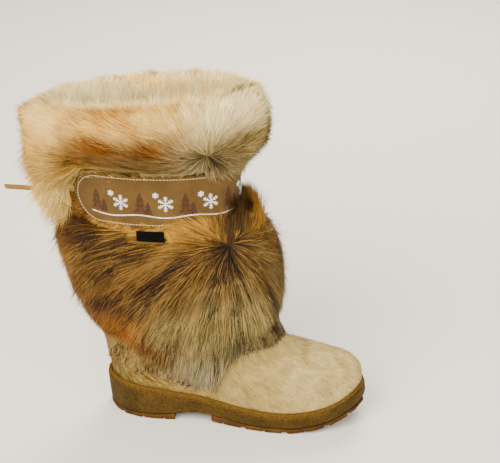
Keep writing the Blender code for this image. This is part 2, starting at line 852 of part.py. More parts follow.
def add_locks(item, skin, place, roots):
    """Fuses the locks on to a fur sleeve."""
    bm = bmesh.new()
    for root, tip, width, lift in roots:
        rings, end = lock_shape(skin, place, root, tip, width, lift)
        (back_ring, front_ring), point = add_loops(bm, rings), bm.verts.new(end)
        bridge(bm, back_ring, front_ring)
        for i, corner in enumerate(front_ring):
            bm.faces.new((corner, front_ring[(i + 1) % len(front_ring)], point))
        bm.faces.new(back_ring)
    locks = add_object(item.name + "_locks", bm, "long_fur")
    join = item.modifiers.new("locks", "BOOLEAN")
    join.operation = "UNION"
    join.use_self = True
    join.object = locks
    keep_outer_shell(item)
    bpy.data.objects.remove(locks)


def keep_outer_shell(item):
    """Applies an object's modifiers and drops the sealed pockets that crossing locks leave inside it."""
    view = bpy.context.evaluated_depsgraph_get()
    bm = bmesh.new()
    bm.from_object(item, view)
    unseen = set(bm.faces)
    shells = []
    while unseen:
        shell, edge = set(), [unseen.pop()]
        while edge:
            face = edge.pop()
            shell.add(face)
            near = {other for e in face.edges for other in e.link_faces} & unseen
            unseen -= near
            edge.extend(near)
        shells.append(shell)
    outer = max(shells, key=len)
    bmesh.ops.delete(bm, geom=[f for f in bm.faces if f not in outer], context="FACES")
    bmesh.ops.triangulate(bm, faces=bm.faces)
    item.modifiers.clear()
    bm.to_mesh(item.data)
    bm.free()


def near_lace_or_label(skin, at):
    """True where a lock would lie on the thong or on the label."""
    level, column = at
    round_back = abs((column + AROUND / 2) % AROUND - AROUND / 2)
    height = skin.point(level, column).z
    by_lace = round_back < 1.6 and abs(height - lace_height()) < LOCK_LENGTH
    label_top = band_middle() - BAND_HEIGHT / 2
    across = abs(column - AROUND * LABEL_PLACE) < LABEL_LENGTH * 0.8 / (COLLAR_LENGTH * math.pi / AROUND)
    by_label = across and label_top - 2.2 * LABEL_DROP < height < label_top + LABEL_DROP
    return by_lace or by_label


def make_shaft_fur(skin):
    outer = sleeve_loops(skin, shaft_fur_span, shaft_fur_place, [row[0] for row in SHAFT_FUR_ROWS])
    inner = hide_side(skin, shaft_fur_span, SHAFT_BACKING_ROWS)
    item = closed_sleeve("shaft_fur", outer + inner, "long_fur")
    chance = random.Random(7)
    roots = lock_roots(skin, shaft_fur_span, SHAFT_LOCK_ROWS, SHAFT_LOCKS, chance, near_lace_or_label)
    add_locks(item, skin, shaft_fur_place, roots)


def make_cuff_fur(skin):
    outer = sleeve_loops(skin, cuff_span, cuff_place, [row[0] for row in CUFF_ROWS[:-1]])
    inner = hide_side(skin, cuff_span, ((0.5, 1.0), (0.0, 1.0)))
    item = closed_sleeve("cuff_fur", outer + over_the_edge(skin) + inner, "cuff_fur")
    chance = random.Random(11)
    roots = lock_roots(skin, cuff_span, CUFF_LOCK_ROWS, CUFF_LOCKS, chance, near_lace_or_label)
    add_locks(item, skin, cuff_place, roots)


# Suede band and label
def even_columns(skin, reach, spacing):
    """Columns at even distances round the front, from one end of the band to the other."""
    count = 2 * round(reach / spacing)

    def column_at(distance):
        low, high = 0.0, AROUND / 2
        for _ in range(20):
            middle = (low + high) / 2
            if waist_distance(skin, AROUND / 2 - middle) < distance:
                low = middle
            else:
                high = middle
        return low

    places = []
    for i in range(count + 1):
        distance = reach * (2 * i / count - 1)
        step = column_at(abs(distance))
        places.append((AROUND / 2 + (step if distance > 0 else -step), reach - abs(distance)))
    return places


def thin_strip(name, skin, rows, depths, thickness, look):
    """A strip of cloth or suede. rows hold (column, height) along crosswise lines, depths the gaps under."""
    bm = bmesh.new()
    sheets = []
    for extra in (0.0, thickness):
        sheet = []
        for line, under in zip(rows, depths):
            places = [
                skin.offset(skin.level_at_height(z, c), c, depth + extra)
                for (c, z), depth in zip(line, under)
            ]
            sheet.append([bm.verts.new(p) for p in places])
        sheets.append(sheet)
    inner, outer = sheets
    lines, wide = len(rows), len(rows[0])
    for sheet in sheets:
        for a, b in zip(sheet, sheet[1:]):
            for i in range(wide - 1):
                bm.faces.new((a[i], a[i + 1], b[i + 1], b[i]))
    edge = [(0, i) for i in range(wide)] + [(j, wide - 1) for j in range(1, lines)]
    edge += [(lines - 1, i) for i in range(wide - 2, -1, -1)] + [(j, 0) for j in range(lines - 2, 0, -1)]
    for (a, i), (b, j) in zip(edge, edge[1:] + edge[:1]):
        bm.faces.new((inner[a][i], inner[b][j], outer[b][j], outer[a][i]))
    return add_object(name, bm, look, 30.0)


def make_band(skin):
    """Suede band round the front of the waist, pinked along both edges, with round ends."""
    middle = band_middle()
    half = BAND_HEIGHT / 2
    blunt = 0.35
    rows = []
    for i, (column, from_end) in enumerate(even_columns(skin, BAND_LENGTH / 2, PINK_PITCH / 2)):
        tall = max(rounded_half(from_end, half), blunt * half)
        tooth = PINK_DEPTH / 2 * (1 if i % 2 else -1) if from_end > half else 0.0
        rows.append([(column, middle + (tall + tooth) * s) for s in (-1, 0, 1)])
    depth = [[LAYER_FIT] * len(line) for line in rows]
    return thin_strip("waist_band", skin, rows, depth, BAND_THICKNESS, "suede")


def make_label(skin):
    """Small cloth tab that hangs out under the band's lower edge on the outer side, left bare."""
    top = band_middle() - BAND_HEIGHT / 2 - PINK_DEPTH
    half_span = LABEL_LENGTH / 2 / (COLLAR_LENGTH * math.pi / AROUND)
    rows, depths = [], []
    columns, lines = 7, 4
    for i in range(columns):
        column = AROUND * LABEL_PLACE + half_span * (2 * i / (columns - 1) - 1)
        line = [(column, top - LABEL_DROP * k / (lines - 1)) for k in range(lines)]
        rows.append(line)
        depths.append([fur_depth_at(skin, z, column) + LABEL_LIFT for _, z in line])
    return thin_strip("label_tab", skin, rows, depths, LABEL_THICKNESS, "label_cloth")


def fur_depth_at(skin, height, column):
    level = skin.level_at_height(height, column)
    return (shaft_fur_place(skin, level, column) - skin.point(level, column)).length


# Thong
def knot_centre(skin):
    level = skin.level_at_height(lace_height(), 0)
    return skin.offset(level, 0, KNOT_SIZE / 2 * KNOT_SQUASH[0] + FIT)


def make_knot(skin):
    """The knot behind the shaft, pulled tight against the hide in the channel between the two furs."""
    bm = bmesh.new()
    bmesh.ops.create_uvsphere(bm, u_segments=10, v_segments=6, radius=KNOT_SIZE / 2)
    bmesh.ops.scale(bm, vec=KNOT_SQUASH, verts=bm.verts)
    bmesh.ops.translate(bm, vec=knot_centre(skin), verts=bm.verts)
    return add_object("lace_knot", bm, "thong_suede")


def make_thong_end(skin):
    """The free end: a flat strip on edge that stands out behind, cut off at a slant."""
    start = knot_centre(skin) + Vector((-KNOT_SIZE / 2 * KNOT_SQUASH[0] - FIT, 0, 0))
    upright = Vector((0, 0, 1))
    last = len(LACE_ROUTE) - 1
    loops = []
    for i, (behind, above) in enumerate(LACE_ROUTE):
        before, after = LACE_ROUTE[max(i - 1, 0)], LACE_ROUTE[min(i + 1, last)]
        along = Vector((before[0] - after[0], 0, after[1] - before[1])).normalized()
        side = along.cross(upright).normalized()
        wide = side.cross(along) * THONG_WIDTH / 2
        slant = along * THONG_SLANT / 2 if i == last else Vector()
        centre = start + Vector((-behind, 0, above))
        thick = side * THONG_THICKNESS / 2
        corners = ((-1, -1), (1, -1), (1, 1), (-1, 1))
        loops.append([centre + (wide + slant) * a + thick * b for a, b in corners])
    bm = bmesh.new()
    rings = add_loops(bm, loops)
    for lower, upper in zip(rings, rings[1:]):
        bridge(bm, lower, upper)
    bm.faces.new(rings[0])
    bm.faces.new(rings[-1])
    return add_object("lace_end", bm, "thong_suede", 30.0)


def main():
    clear_scene()
    skin = Skin(upper_rows())
    make_cup_sole()
    make_heel_tread()
    make_forefoot_tread()
    make_insole()
    make_upper(skin)
    make_shaft_fur(skin)
    make_cuff_fur(skin)
    make_band(skin)
    make_label(skin)
    make_knot(skin)
    make_thong_end(skin)


main()
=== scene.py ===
# %% [markdown]
# # A fur mukluk boot, dressed over its solid model
#
# The solid model already has the true form of the boot: a hollow hide upper on a rubber cup sole, two deep
# sleeves of fur, a suede band and a thong. This lesson gives each piece the surface that the eye expects.
# Fur is the main part of the work. It could be painted on as a bump, but real fur shows its depth at every
# edge, so here it is grown as a great many thin ribbons, each bent and coloured in code.

# %% Load the solid model
import math

import bmesh
import bpy
import numpy as np
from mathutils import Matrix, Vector
from mathutils.bvhtree import BVHTree
from mathutils.kdtree import KDTree


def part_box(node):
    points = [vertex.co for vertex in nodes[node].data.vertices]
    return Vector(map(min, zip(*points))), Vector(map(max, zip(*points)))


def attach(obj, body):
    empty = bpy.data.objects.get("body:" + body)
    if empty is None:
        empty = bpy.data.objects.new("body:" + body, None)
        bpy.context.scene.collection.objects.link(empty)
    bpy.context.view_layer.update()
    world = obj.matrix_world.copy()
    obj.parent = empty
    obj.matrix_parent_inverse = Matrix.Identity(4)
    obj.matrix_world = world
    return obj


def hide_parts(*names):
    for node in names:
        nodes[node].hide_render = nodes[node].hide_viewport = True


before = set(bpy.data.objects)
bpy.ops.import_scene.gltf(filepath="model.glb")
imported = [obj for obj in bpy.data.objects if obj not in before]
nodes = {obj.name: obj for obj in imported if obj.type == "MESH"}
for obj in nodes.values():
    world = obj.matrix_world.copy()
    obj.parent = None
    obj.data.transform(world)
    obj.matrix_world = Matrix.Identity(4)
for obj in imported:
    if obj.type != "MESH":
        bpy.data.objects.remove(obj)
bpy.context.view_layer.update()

# %% [markdown]
# The camera comes first, because everything is judged through it. The boot was seen from a little in front
# of its outer side and from 27 degrees above. A long lens keeps the sole's curve as flat as it was seen.

# %% Camera
MM = 0.001
CAMERA_AZIMUTH = math.radians(5.5)
CAMERA_ELEVATION = math.radians(27.0)
CAMERA_DISTANCE = 1.45
CAMERA_AIM = Vector((0.1187, 0.0, 0.2175))


def add_object(name, data):
    item = bpy.data.objects.new(name, data)
    bpy.context.scene.collection.objects.link(item)
    return item


def aim(item, place, towards):
    """Puts the camera or a lamp at a place and turns it towards another."""
    item.location = place
    item.rotation_mode = "QUATERNION"
    item.rotation_quaternion = (Vector(towards) - Vector(place)).to_track_quat("-Z", "Y")


level = Vector((math.sin(CAMERA_AZIMUTH), -math.cos(CAMERA_AZIMUTH), 0))
back = level * math.cos(CAMERA_ELEVATION) + Vector((0, 0, math.sin(CAMERA_ELEVATION)))
camera_data = bpy.data.cameras.new("camera")
camera_data.lens = 99.7
camera_data.sensor_width = 36.0
camera = add_object("camera", camera_data)
aim(camera, CAMERA_AIM + back * CAMERA_DISTANCE, CAMERA_AIM)
bpy.context.scene.camera = camera
print("camera at", [round(v, 3) for v in camera.location])

# %% [markdown]
# Materials are built from nodes. Small helpers keep that readable: one turns the hex colour of a paint
# chart into the linear numbers that Blender mixes with, one adds a node with its settings and links, and
# the rest make the noise, the ramp and the bump that most of the materials share.

# %% Helpers for materials


def colour(hex_text):
    """Linear RGB of an sRGB hex colour."""
    values = [int(hex_text[i : i + 2], 16) / 255 for i in (1, 3, 5)]
    return [v / 12.92 if v <= 0.04045 else ((v + 0.055) / 1.055) ** 2.4 for v in values]


def add_node(tree, kind, settings=None, links=None):
    """Adds a node. A setting is an input, by name or number, or else a property of the node."""
    made = tree.nodes.new(kind)
    for key, value in (settings or {}).items():
        if isinstance(key, int) or key in made.inputs:
            made.inputs[key].default_value = value
        else:
            setattr(made, key, value)
    for key, source in (links or {}).items():
        tree.links.new(source, made.inputs[key])
    return made


def new_material(name, settings):
    """A material whose one shader has these constant settings. Returns it with its tree and shader."""
    made = bpy.data.materials.new(name)
    made.use_nodes = True
    shader = made.node_tree.nodes["Principled BSDF"]
    for key, value in settings.items():
        shader.inputs[key].default_value = value
    return made, made.node_tree, shader


def colour_steps(tree, factor, stops):
    """A colour ramp with (place, hex) stops."""
    ramp = add_node(tree, "ShaderNodeValToRGB", links={"Fac": factor})
    elements = ramp.color_ramp.elements
    while len(elements) < len(stops):
        elements.new(0.5)
    for element, (place, shade) in zip(elements, stops):
        element.position = place
        element.color = (*colour(shade), 1.0)
    return ramp.outputs["Color"]


def tint(tree, shader, factor, stops):
    """Colours a shader by a ramp over a factor."""
    tree.links.new(colour_steps(tree, factor, stops), shader.inputs["Base Color"])


def noise(tree, scale, detail, roughness=0.5):
    """Noise over the piece in its real measure, with so many clouds to the metre."""
    place = add_node(tree, "ShaderNodeTexCoord").outputs["Object"]
    settings = {"Scale": scale, "Detail": detail, "Roughness": roughness}
    return add_node(tree, "ShaderNodeTexNoise", settings, {"Vector": place}).outputs["Fac"]


def multiply(tree, share, first, second):
    """The first colour multiplied by a share of the second."""
    settings = {"data_type": "RGBA", "blend_type": "MULTIPLY", 0: share}
    return add_node(tree, "ShaderNodeMix", settings, {6: first, 7: second}).outputs[2]


def add_bump(tree, shader, height, strength, depth):
    bump = add_node(tree, "ShaderNodeBump", {"Strength": strength, "Distance": depth}, {"Height": height})
    tree.links.new(bump.outputs[0], shader.inputs["Normal"])


print("mid grey is", round(colour("#808080")[0], 3), "in linear light")

# %% [markdown]
# Pieces are shaped with Blender's own operators. An operator works on whatever is selected, so each step
# first selects the one piece it is meant for.

# %% Helpers for pieces


def select_only(piece):
    bpy.ops.object.select_all(action="DESELECT")
    piece.select_set(True)
    bpy.context.view_layer.objects.active = piece


def copy_of(node_name, piece_name):
    """A copy of a solid's mesh as a piece of its own, with its loose triangles merged into quads."""
    piece = add_object(piece_name, nodes[node_name].data.copy())
    piece.data.name = piece_name
    piece.data.materials.clear()
    select_only(piece)
    bpy.ops.mesh.customdata_custom_splitnormals_clear()
    bpy.ops.object.mode_set(mode="EDIT")
    bpy.ops.mesh.select_all(action="SELECT")
    bpy.ops.mesh.remove_doubles(threshold=0.00001)
    bpy.ops.mesh.tris_convert_to_quads(face_threshold=math.radians(30), shape_threshold=math.radians(50))
    bpy.ops.object.mode_set(mode="OBJECT")
    return piece


def apply_modifier(piece, kind, **settings):
    select_only(piece)
    step = piece.modifiers.new("step", kind)
    for key, value in settings.items():
        setattr(step, key, value)
    bpy.ops.object.modifier_apply(modifier=step.name)


def dress(piece, material, slot, *replaced):
    """Gives a finished piece its material and its place in the model."""
    piece.data.materials.clear()
    piece.data.materials.append(material)
    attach(piece, "root")
    if replaced:
        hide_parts(*replaced)


def mottled(name, settings, cloud, stops, bump=None):
    """A material whose colour and bump follow one noise. cloud is its scale and detail."""
    made, tree, shader = new_material(name, settings)
    factor = noise(tree, *cloud)
    tint(tree, shader, factor, stops)
    if bump:
        add_bump(tree, shader, factor, *bump)
    return made


def paint_solid(node_name, material):
    """Gives a solid that already has its final form its material alone."""
    solid = nodes[node_name]
    solid.data.materials.clear()
    solid.data.materials.append(material)
    return solid


def new_piece(name, points, faces, smooth=True):
    mesh = bpy.data.meshes.new(name)
    mesh.from_pydata([tuple(p) for p in points], [], faces)
    mesh.update()
    if smooth:
        mesh.shade_smooth()
    return add_object(name, mesh)


def fade(values, start, end):
    """0 up to the start, 1 from the end on, and even in between. The end may lie below the start."""
    return np.clip((values - start) / (end - start), 0, 1)


def mesh_places(mesh):
    values = np.empty(len(mesh.vertices) * 3)
    mesh.vertices.foreach_get("co", values)
    return values.reshape(-1, 3)


print(len(nodes), "solids to dress")

# %% [markdown]
# The thong is a strip of split hide. Its free end stands out behind, flat and on edge, and is cut off at a
# slant. It is swept along its route with a soft-cornered section, because a cut strip has no sharp edges
# left after a season of wear.

# %% Thong
THONG_WIDTH = 5.2 * MM
THONG_THICKNESS = 1.9 * MM
THONG_SLANT = 2.4 * MM
THONG_STEP = 4.0 * MM
# mm that the route rises above its start, one step after the other
THONG_RISE = (0.0, 0.8, 2.2, 3.8, 5.3, 6.5, 7.4, 8.0, 8.4, 8.7, 8.9, 9.0, 9.1, 9.2, 9.3, 9.4)

thong_low, thong_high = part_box("lace_end")
thong_start = Vector((thong_high.x, (thong_low.y + thong_high.y) / 2, thong_low.z + THONG_WIDTH / 2))
thong_path = [thong_start + Vector((-THONG_STEP * i, 0, rise * MM)) for i, rise in enumerate(THONG_RISE)]
SECTION = ((-1, -0.55), (-0.8, -1), (0.8, -1), (1, -0.55), (1, 0.55), (0.8, 1), (-0.8, 1), (-1, 0.55))


def sweep_thong():
    points, faces = [], []
    last = len(thong_path) - 1
    for i, place in enumerate(thong_path):
        along = (thong_path[min(i + 1, last)] - thong_path[max(i - 1, 0)]).normalized()
        side = along.cross(Vector((0, 0, 1))).normalized()
        wide = side.cross(along) * THONG_WIDTH / 2
        slant = along * THONG_SLANT / 2 * (i == last)
        points += [place + (wide + slant) * a + side * THONG_THICKNESS / 2 * b for a, b in SECTION]
    count = len(SECTION)
    for i in range(last):
        for k in range(count):
            a, b = i * count + k, i * count + (k + 1) % count
            faces.append((a, b, b + count, a + count))
    faces.append(tuple(range(count - 1, -1, -1)))
    faces.append(tuple(range(last * count, (last + 1) * count)))
    return new_piece("thong_end", points, faces)


thong = sweep_thong()
select_only(thong)
bpy.ops.object.mode_set(mode="EDIT")
bpy.ops.mesh.select_all(action="SELECT")
bpy.ops.mesh.normals_make_consistent(inside=False)
bpy.ops.object.mode_set(mode="OBJECT")

THONG_SHADES = ((0.3, "#5E4218"), (0.55, "#80602C"), (0.75, "#A88450"))
SUEDE = {"Roughness": 0.9, "Specular IOR Level": 0.15}
thong_suede = mottled("thong_suede", SUEDE, (1320.0, 6.0), THONG_SHADES, (0.4, 0.4 * MM))
dress(thong, thong_suede, "thong", "lace_end")
knot = paint_solid("lace_knot", thong_suede)

# %% [markdown]
# A pale floor and soft lamps, as in a small product studio. One large lamp from the upper left models the
# form, a wide one from the front fills it, and a third behind lights the tips of the hairs from the back.

# %% Floor and lights


def lamp(name, place, towards, size, power, shade):
    data = bpy.data.lights.new(name, "AREA")
    data.color = colour(shade)
    data.shape = "DISK"
    data.size = size
    data.energy = power
    aim(add_object(name, data), place, towards)


floor = new_piece("floor", [(-4, -4, 0), (4, -4, 0), (4, 4, 0), (-4, 4, 0)], [(0, 1, 2, 3)], smooth=False)
plain = {"Base Color": (*colour("#D9D8D5"), 1), "Roughness": 0.8, "Specular IOR Level": 0.2}
floor_paint, _, _ = new_material("floor_paint", plain)
floor.data.materials.append(floor_paint)

lamp("key_lamp", (-0.7, -1.3, 1.5), (0.05, 0, 0.2), 1.8, 105, "#FFF3DE")
lamp("fill_lamp", (1.5, -1.2, 0.8), (0.05, 0, 0.2), 1.8, 34, "#FFF6E8")
lamp("rim_lamp", (0.3, 1.4, 1.4), (0.05, 0, 0.25), 1.0, 55, "#FFF3DC")
world = bpy.data.worlds.new("studio")
world.use_nodes = True
world.node_tree.nodes["Background"].inputs["Color"].default_value = (*colour("#EFEDE8"), 1)
bpy.context.scene.world = world
print("three lamps and a grey world")

# %% [markdown]
# The sole is one moulding of crepe rubber. The solid has its true form with plain facets, so the smooth
# piece is that form subdivided, with its edges held. The lip round the upper is marked and painted
# lighter than the side, as painted light on its upward slope.

# %% Cup of the sole


def hold_edges(piece, angle, amount):
    """Creases the edges that are sharper than an angle, so that subdivision keeps them."""
    bm = bmesh.new()
    bm.from_mesh(piece.data)
    layer = bm.edges.layers.float.get("crease_edge") or bm.edges.layers.float.new("crease_edge")
    for edge in bm.edges:
        if len(edge.link_faces) == 2 and edge.calc_face_angle() > math.radians(angle):
            edge[layer] = amount
    bm.to_mesh(piece.data)
    bm.free()


sole = copy_of("cup_sole", "sole_cup")
hold_edges(sole, 32, 0.75)
apply_modifier(sole, "SUBSURF", levels=2, render_levels=2)
sole.data.shade_smooth()

# the lip is the top of the wall, measured down from the highest point near by. An attribute marks it.
LIP_DEEP = 7.0 * MM
LIP_BLEND = 2.5 * MM
TOP_REACH = 6 * MM
forward, sideways, up = mesh_places(sole.data).T
sole_tops = np.array(
    [up[(abs(forward - x) < TOP_REACH) & (sideways * y >= 0)].max() for x, y in zip(forward, sideways)]
)
lip = fade(up - sole_tops, -LIP_DEEP, LIP_BLEND - LIP_DEEP)
sole.data.attributes.new("lip", "FLOAT", "POINT").data.foreach_set("value", lip)
print("sole cup has", len(sole.data.polygons), "faces")

# %% [markdown]
# Crepe is rolled, not polished, so it is matt, cloudy and pebbled. Two noises do that: a wide one shifts
# the colour, and a fine one lifts the pebbles and paints shade into the hollows between them.

# %% Crepe rubber
crepe, tree, shader = new_material("crepe_rubber", {"Roughness": 0.75, "Specular IOR Level": 0.12})
pebble = noise(tree, 480.0, 4.0)
cloud = noise(tree, 34.0, 5.0, 0.65)
cloud = colour_steps(tree, cloud, ((0.25, "#302006"), (0.5, "#40300C"), (0.75, "#503C14")))
lip_mark = add_node(tree, "ShaderNodeAttribute", {"attribute_name": "lip"}).outputs["Fac"]
# painted light: the lip, which slopes up towards the upper, gets a lighter honey than the side
lip_painted_light = {"data_type": "RGBA", "blend_type": "MIX", 7: (*colour("#58410F"), 1)}
honey = add_node(tree, "ShaderNodeMix", lip_painted_light, {0: lip_mark, 6: cloud}).outputs[2]
# painted shade in the hollows of the pebbling, from the same noise as the bump
pit_shade = colour_steps(tree, pebble, ((0.35, "#8A6A40"), (0.6, "#FFFFFF")))
tree.links.new(multiply(tree, 0.6, honey, pit_shade), shader.inputs["Base Color"])
add_bump(tree, shader, pebble, 0.7, 0.8 * MM)
dress(sole, crepe, "crepe_rubber", "cup_sole")

# %% [markdown]
# The treads are darker gum rubber. Their lugs have the right form in the solid, so they keep it and get
# a rubber of their own.

# %% Treads
GUM_SHADES = ((0.3, "#362004"), (0.55, "#472C08"), (0.8, "#583C10"))
gum = mottled("gum_rubber", {"Roughness": 0.7, "Specular IOR Level": 0.12}, (60.0, 5.0), GUM_SHADES)
for name in ("heel_tread", "forefoot_tread"):
    paint_solid(name, gum)
    print(name, "is gum rubber")

# %% [markdown]
# The insole is a pad with a short curly pile. The curl is too fine to be worth a mesh down in the boot, so
# it is bump, and the sheen is that of the pile's tips.

# %% Insole
FLEECE = {"Roughness": 1.0, "Sheen Weight": 0.4}
fleece = mottled("fleece_pile", FLEECE, (260.0, 6.0), ((0.3, "#A89878"), (0.6, "#DCD0B4")), (0.8, 2 * MM))
paint_solid("insole", fleece)
print("insole is fleece")

# %% [markdown]
# Fur has a colour at each place and a direction at each place. Both are given here. Colour comes from
# zones: each row of a table names a place on the side of the boot, how far the zone reaches, and the dark,
# middle and light hair that grows there. Between zones the shares blend.

# %% Colour zones of the fur
HAIR = {
    "soot": "#0C0704", "coffee": "#1E1006", "peat": "#30281A", "umber": "#382208", "brown": "#4E3010",
    "bark": "#684614", "olive": "#60542E", "sienna": "#441C06", "rust": "#743A0A", "copper": "#9C6220",
    "amber": "#86520C", "gold": "#A07420", "honey": "#C0923C", "tan": "#80602A", "sand": "#7C6832",
    "straw": "#A08A52", "moss": "#6C6238", "ash": "#867C58", "silver": "#A69C7C", "corn": "#D09C3A",
    "butter": "#ECC864", "cream": "#F2DC90", "ivory": "#F6E6A8", "white": "#F6EEC8", "dune": "#9A864C",
    "oat": "#AE9A60", "biscuit": "#BEAA70", "shell": "#CCBA84",
}  # fmt: skip
# forward mm, up mm, reach forward, reach up, dark, middle and light hair, share of dark, share of light
SHAFT_COAT = (
    (20, 243, 60, 19, "bark", "gold", "honey", 0.04, 0.55),  # under the band
    (-62, 250, 25, 25, "umber", "bark", "tan", 0.20, 0.35),
    (104, 244, 18, 16, "soot", "coffee", "umber", 0.72, 0.04),  # the whorl
    (124, 268, 35, 22, "bark", "gold", "honey", 0.12, 0.30),
    (148, 236, 20, 14, "coffee", "brown", "tan", 0.30, 0.30),
    (-20, 212, 55, 20, "soot", "umber", "tan", 0.40, 0.28),
    (30, 190, 40, 30, "soot", "brown", "tan", 0.36, 0.32),
    (95, 205, 30, 25, "soot", "brown", "tan", 0.38, 0.25),
    (-72, 190, 20, 40, "umber", "bark", "tan", 0.20, 0.40),
    (-20, 160, 25, 14, "coffee", "brown", "tan", 0.35, 0.25),
    (100, 145, 50, 30, "peat", "moss", "straw", 0.28, 0.40),
    (150, 190, 20, 35, "umber", "bark", "moss", 0.30, 0.35),
    (45, 125, 30, 20, "peat", "moss", "straw", 0.25, 0.40),
    (-4, 112, 12, 5, "sienna", "rust", "copper", 0.40, 0.15),  # the fold over the counter
    (14, 98, 12, 5, "sienna", "rust", "copper", 0.40, 0.15),
    (-15, 120, 30, 20, "sienna", "amber", "copper", 0.40, 0.22),
    (-5, 82, 25, 16, "umber", "sand", "straw", 0.38, 0.24),
    (72, 65, 22, 20, "peat", "ash", "silver", 0.38, 0.36),  # the pale tuft at the seam
    (120, 105, 30, 12, "peat", "olive", "ash", 0.35, 0.25),
)
CUFF_COAT = (
    (110, 385, 50, 35, "cream", "ivory", "white", 0.10, 0.45),
    (-40, 379, 45, 18, "cream", "ivory", "white", 0.12, 0.40),
    (-78, 348, 16, 30, "corn", "butter", "cream", 0.15, 0.35),
    (-20, 358, 60, 14, "copper", "corn", "butter", 0.18, 0.35),
    (30, 366, 30, 14, "corn", "butter", "cream", 0.15, 0.40),
    (-25, 338, 26, 11, "sienna", "rust", "copper", 0.42, 0.20),
    (25, 336, 26, 11, "sienna", "brown", "copper", 0.42, 0.20),
    (-45, 318, 25, 14, "coffee", "gold", "honey", 0.40, 0.25),
    (15, 318, 35, 9, "coffee", "tan", "straw", 0.42, 0.30),
    (72, 325, 22, 14, "coffee", "sand", "silver", 0.38, 0.35),
    (88, 319, 10, 9, "soot", "coffee", "olive", 0.50, 0.12),  # the cuff's whorl
    (118, 335, 28, 18, "umber", "sand", "straw", 0.32, 0.35),
    (130, 318, 25, 12, "peat", "olive", "ash", 0.30, 0.30),
)
FAN_COAT = (
    (60, 250, 36, 30, "bark", "gold", "honey", 0.20, 0.30),
    (104, 244, 16, 13, "soot", "coffee", "umber", 0.50, 0.08),
    (135, 268, 25, 26, "bark", "gold", "honey", 0.20, 0.30),
)
LINING_COAT = ((30, 350, 200, 200, "butter", "cream", "white", 0.12, 0.40),)
HIDE_COAT = (
    (190, 60, 60, 60, "oat", "biscuit", "shell", 0.20, 0.20),
    (120, 60, 50, 60, "dune", "oat", "biscuit", 0.30, 0.20),
    # painted shade along the crease across the vamp: darker hair there than round it
    (176, 84, 6, 22, "tan", "dune", "oat", 0.20, 0.20),  # the crease across the vamp
    (20, 250, 200, 70, "umber", "bark", "gold", 0.30, 0.25),
    (-10, 70, 50, 40, "bark", "sand", "oat", 0.30, 0.30),
)
print(len(SHAFT_COAT), "zones on the shaft and", len(CUFF_COAT), "on the cuff")


def zone_shares(zones, places):
    """How much each zone counts at each place."""
    rows = np.array([zone[:4] for zone in zones]) * MM
    forward = (places[:, None, 0] - rows[:, 0]) / rows[:, 2]
    up = (places[:, None, 2] - rows[:, 1]) / rows[:, 3]
    near = 1.0 / (0.02 + (forward**2 + up**2) ** 1.5)
    return near / near.sum(axis=1, keepdims=True)


def coat_at(zones, places):
    """Dark, middle and light colours and the shares of dark and light hairs at each place."""
    shares = zone_shares(zones, places)
    tones = [shares @ np.array([colour(HAIR[zone[k]]) for zone in zones]) for k in (4, 5, 6)]
    dark, light = (shares @ np.array([zone[k] for zone in zones]) for k in (7, 8))
    return tones, dark, light


def join_coats(chosen, first, second):
    """The first coat where chosen, and elsewhere the second."""
    tones = [np.where(chosen[:, None], a, b) for a, b in zip(first[0], second[0])]
    return tones, np.where(chosen, first[1], second[1]), np.where(chosen, first[2], second[2])


# %% [markdown]
# The skin under the hair is the solid sleeve of fur, made smooth and drawn in towards the leg. A voxel
# remesh melts its locks together, a smoothing rounds them, and then each point moves in, so that the hairs
# that grow from it reach the size the solid had.

# %% Skin under the fur


def tree_of(piece):
    return BVHTree.FromObject(piece, bpy.context.evaluated_depsgraph_get())


upper_tree = tree_of(nodes["upper"])
band_low, band_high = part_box("waist_band")
BAND_MIDDLE = (band_low.z + band_high.z) / 2
LEG_MIDDLE = 20 * MM  # how far forward the leg's middle line is
PELT_SINK = 8 * MM  # how far the skin lies under the fur's surface
BAND_BACK = -50 * MM  # the band's round ends lie ahead of this


def thin_over_band(place, gap):
    """Most depth that the cuff's fur has at a place, so that it doesn't hang over the band."""
    rise = place.z - band_high.z
    return gap if place.x < BAND_BACK else min(gap, max(1 * MM, 0.8 * rise - 1 * MM))


def make_pelt(node_name, piece_name):
    piece = copy_of(node_name, piece_name)
    apply_modifier(piece, "REMESH", mode="VOXEL", voxel_size=3.5 * MM)
    apply_modifier(piece, "SMOOTH", factor=0.5, iterations=8)
    mesh = piece.data
    for point in mesh.vertices:
        on_hide, _, _, gap = upper_tree.find_nearest(point.co)
        depth = gap - min(PELT_SINK, 0.5 * gap)
        if node_name == "cuff_fur":
            depth = thin_over_band(point.co, depth)
        point.co = on_hide + (point.co - on_hide).normalized() * depth
    mesh.update()
    mesh.shade_smooth()
    print(piece_name, "has", len(mesh.polygons), "faces")
    return piece


shaft_pelt = make_pelt("shaft_fur", "shaft_pelt")
cuff_pelt = make_pelt("cuff_fur", "cuff_pelt")

# %% [markdown]
# The hide of the foot is the solid upper, subdivided so that its outline is a curve. Its main creases are
# pressed in one by one: each is a short line with a width and a depth.

# %% Hide of the upper
# start and end (forward, side, up) in mm, width mm, depth mm
CREASES = (
    ((158, -46, 46), (166, -26, 72), 6.0, 1.6),
    ((182, -46, 42), (184, -24, 60), 7.0, 1.0),
    ((160, 44, 46), (168, 26, 72), 6.0, 1.6),
    ((-26, -36, 92), (10, -44, 78), 7.0, 1.8),
)


def press_creases(piece):
    mesh = piece.data
    places = mesh_places(mesh)
    normals = np.array([v.normal for v in mesh.vertices])
    for start, end, width, depth in CREASES:
        a, b = np.array(start) * MM, np.array(end) * MM
        along = np.clip((places - a) @ (b - a) / ((b - a) @ (b - a)), 0, 1)
        away = np.linalg.norm(places - (a + along[:, None] * (b - a)), axis=1)
        reach = away / (width * MM)
        trough = np.exp(-(reach**2)) - 0.35 * np.exp(-((reach - 1.6) ** 2) * 3)
        places -= normals * (trough * depth * MM)[:, None]
    mesh.vertices.foreach_set("co", places.ravel())
    mesh.update()


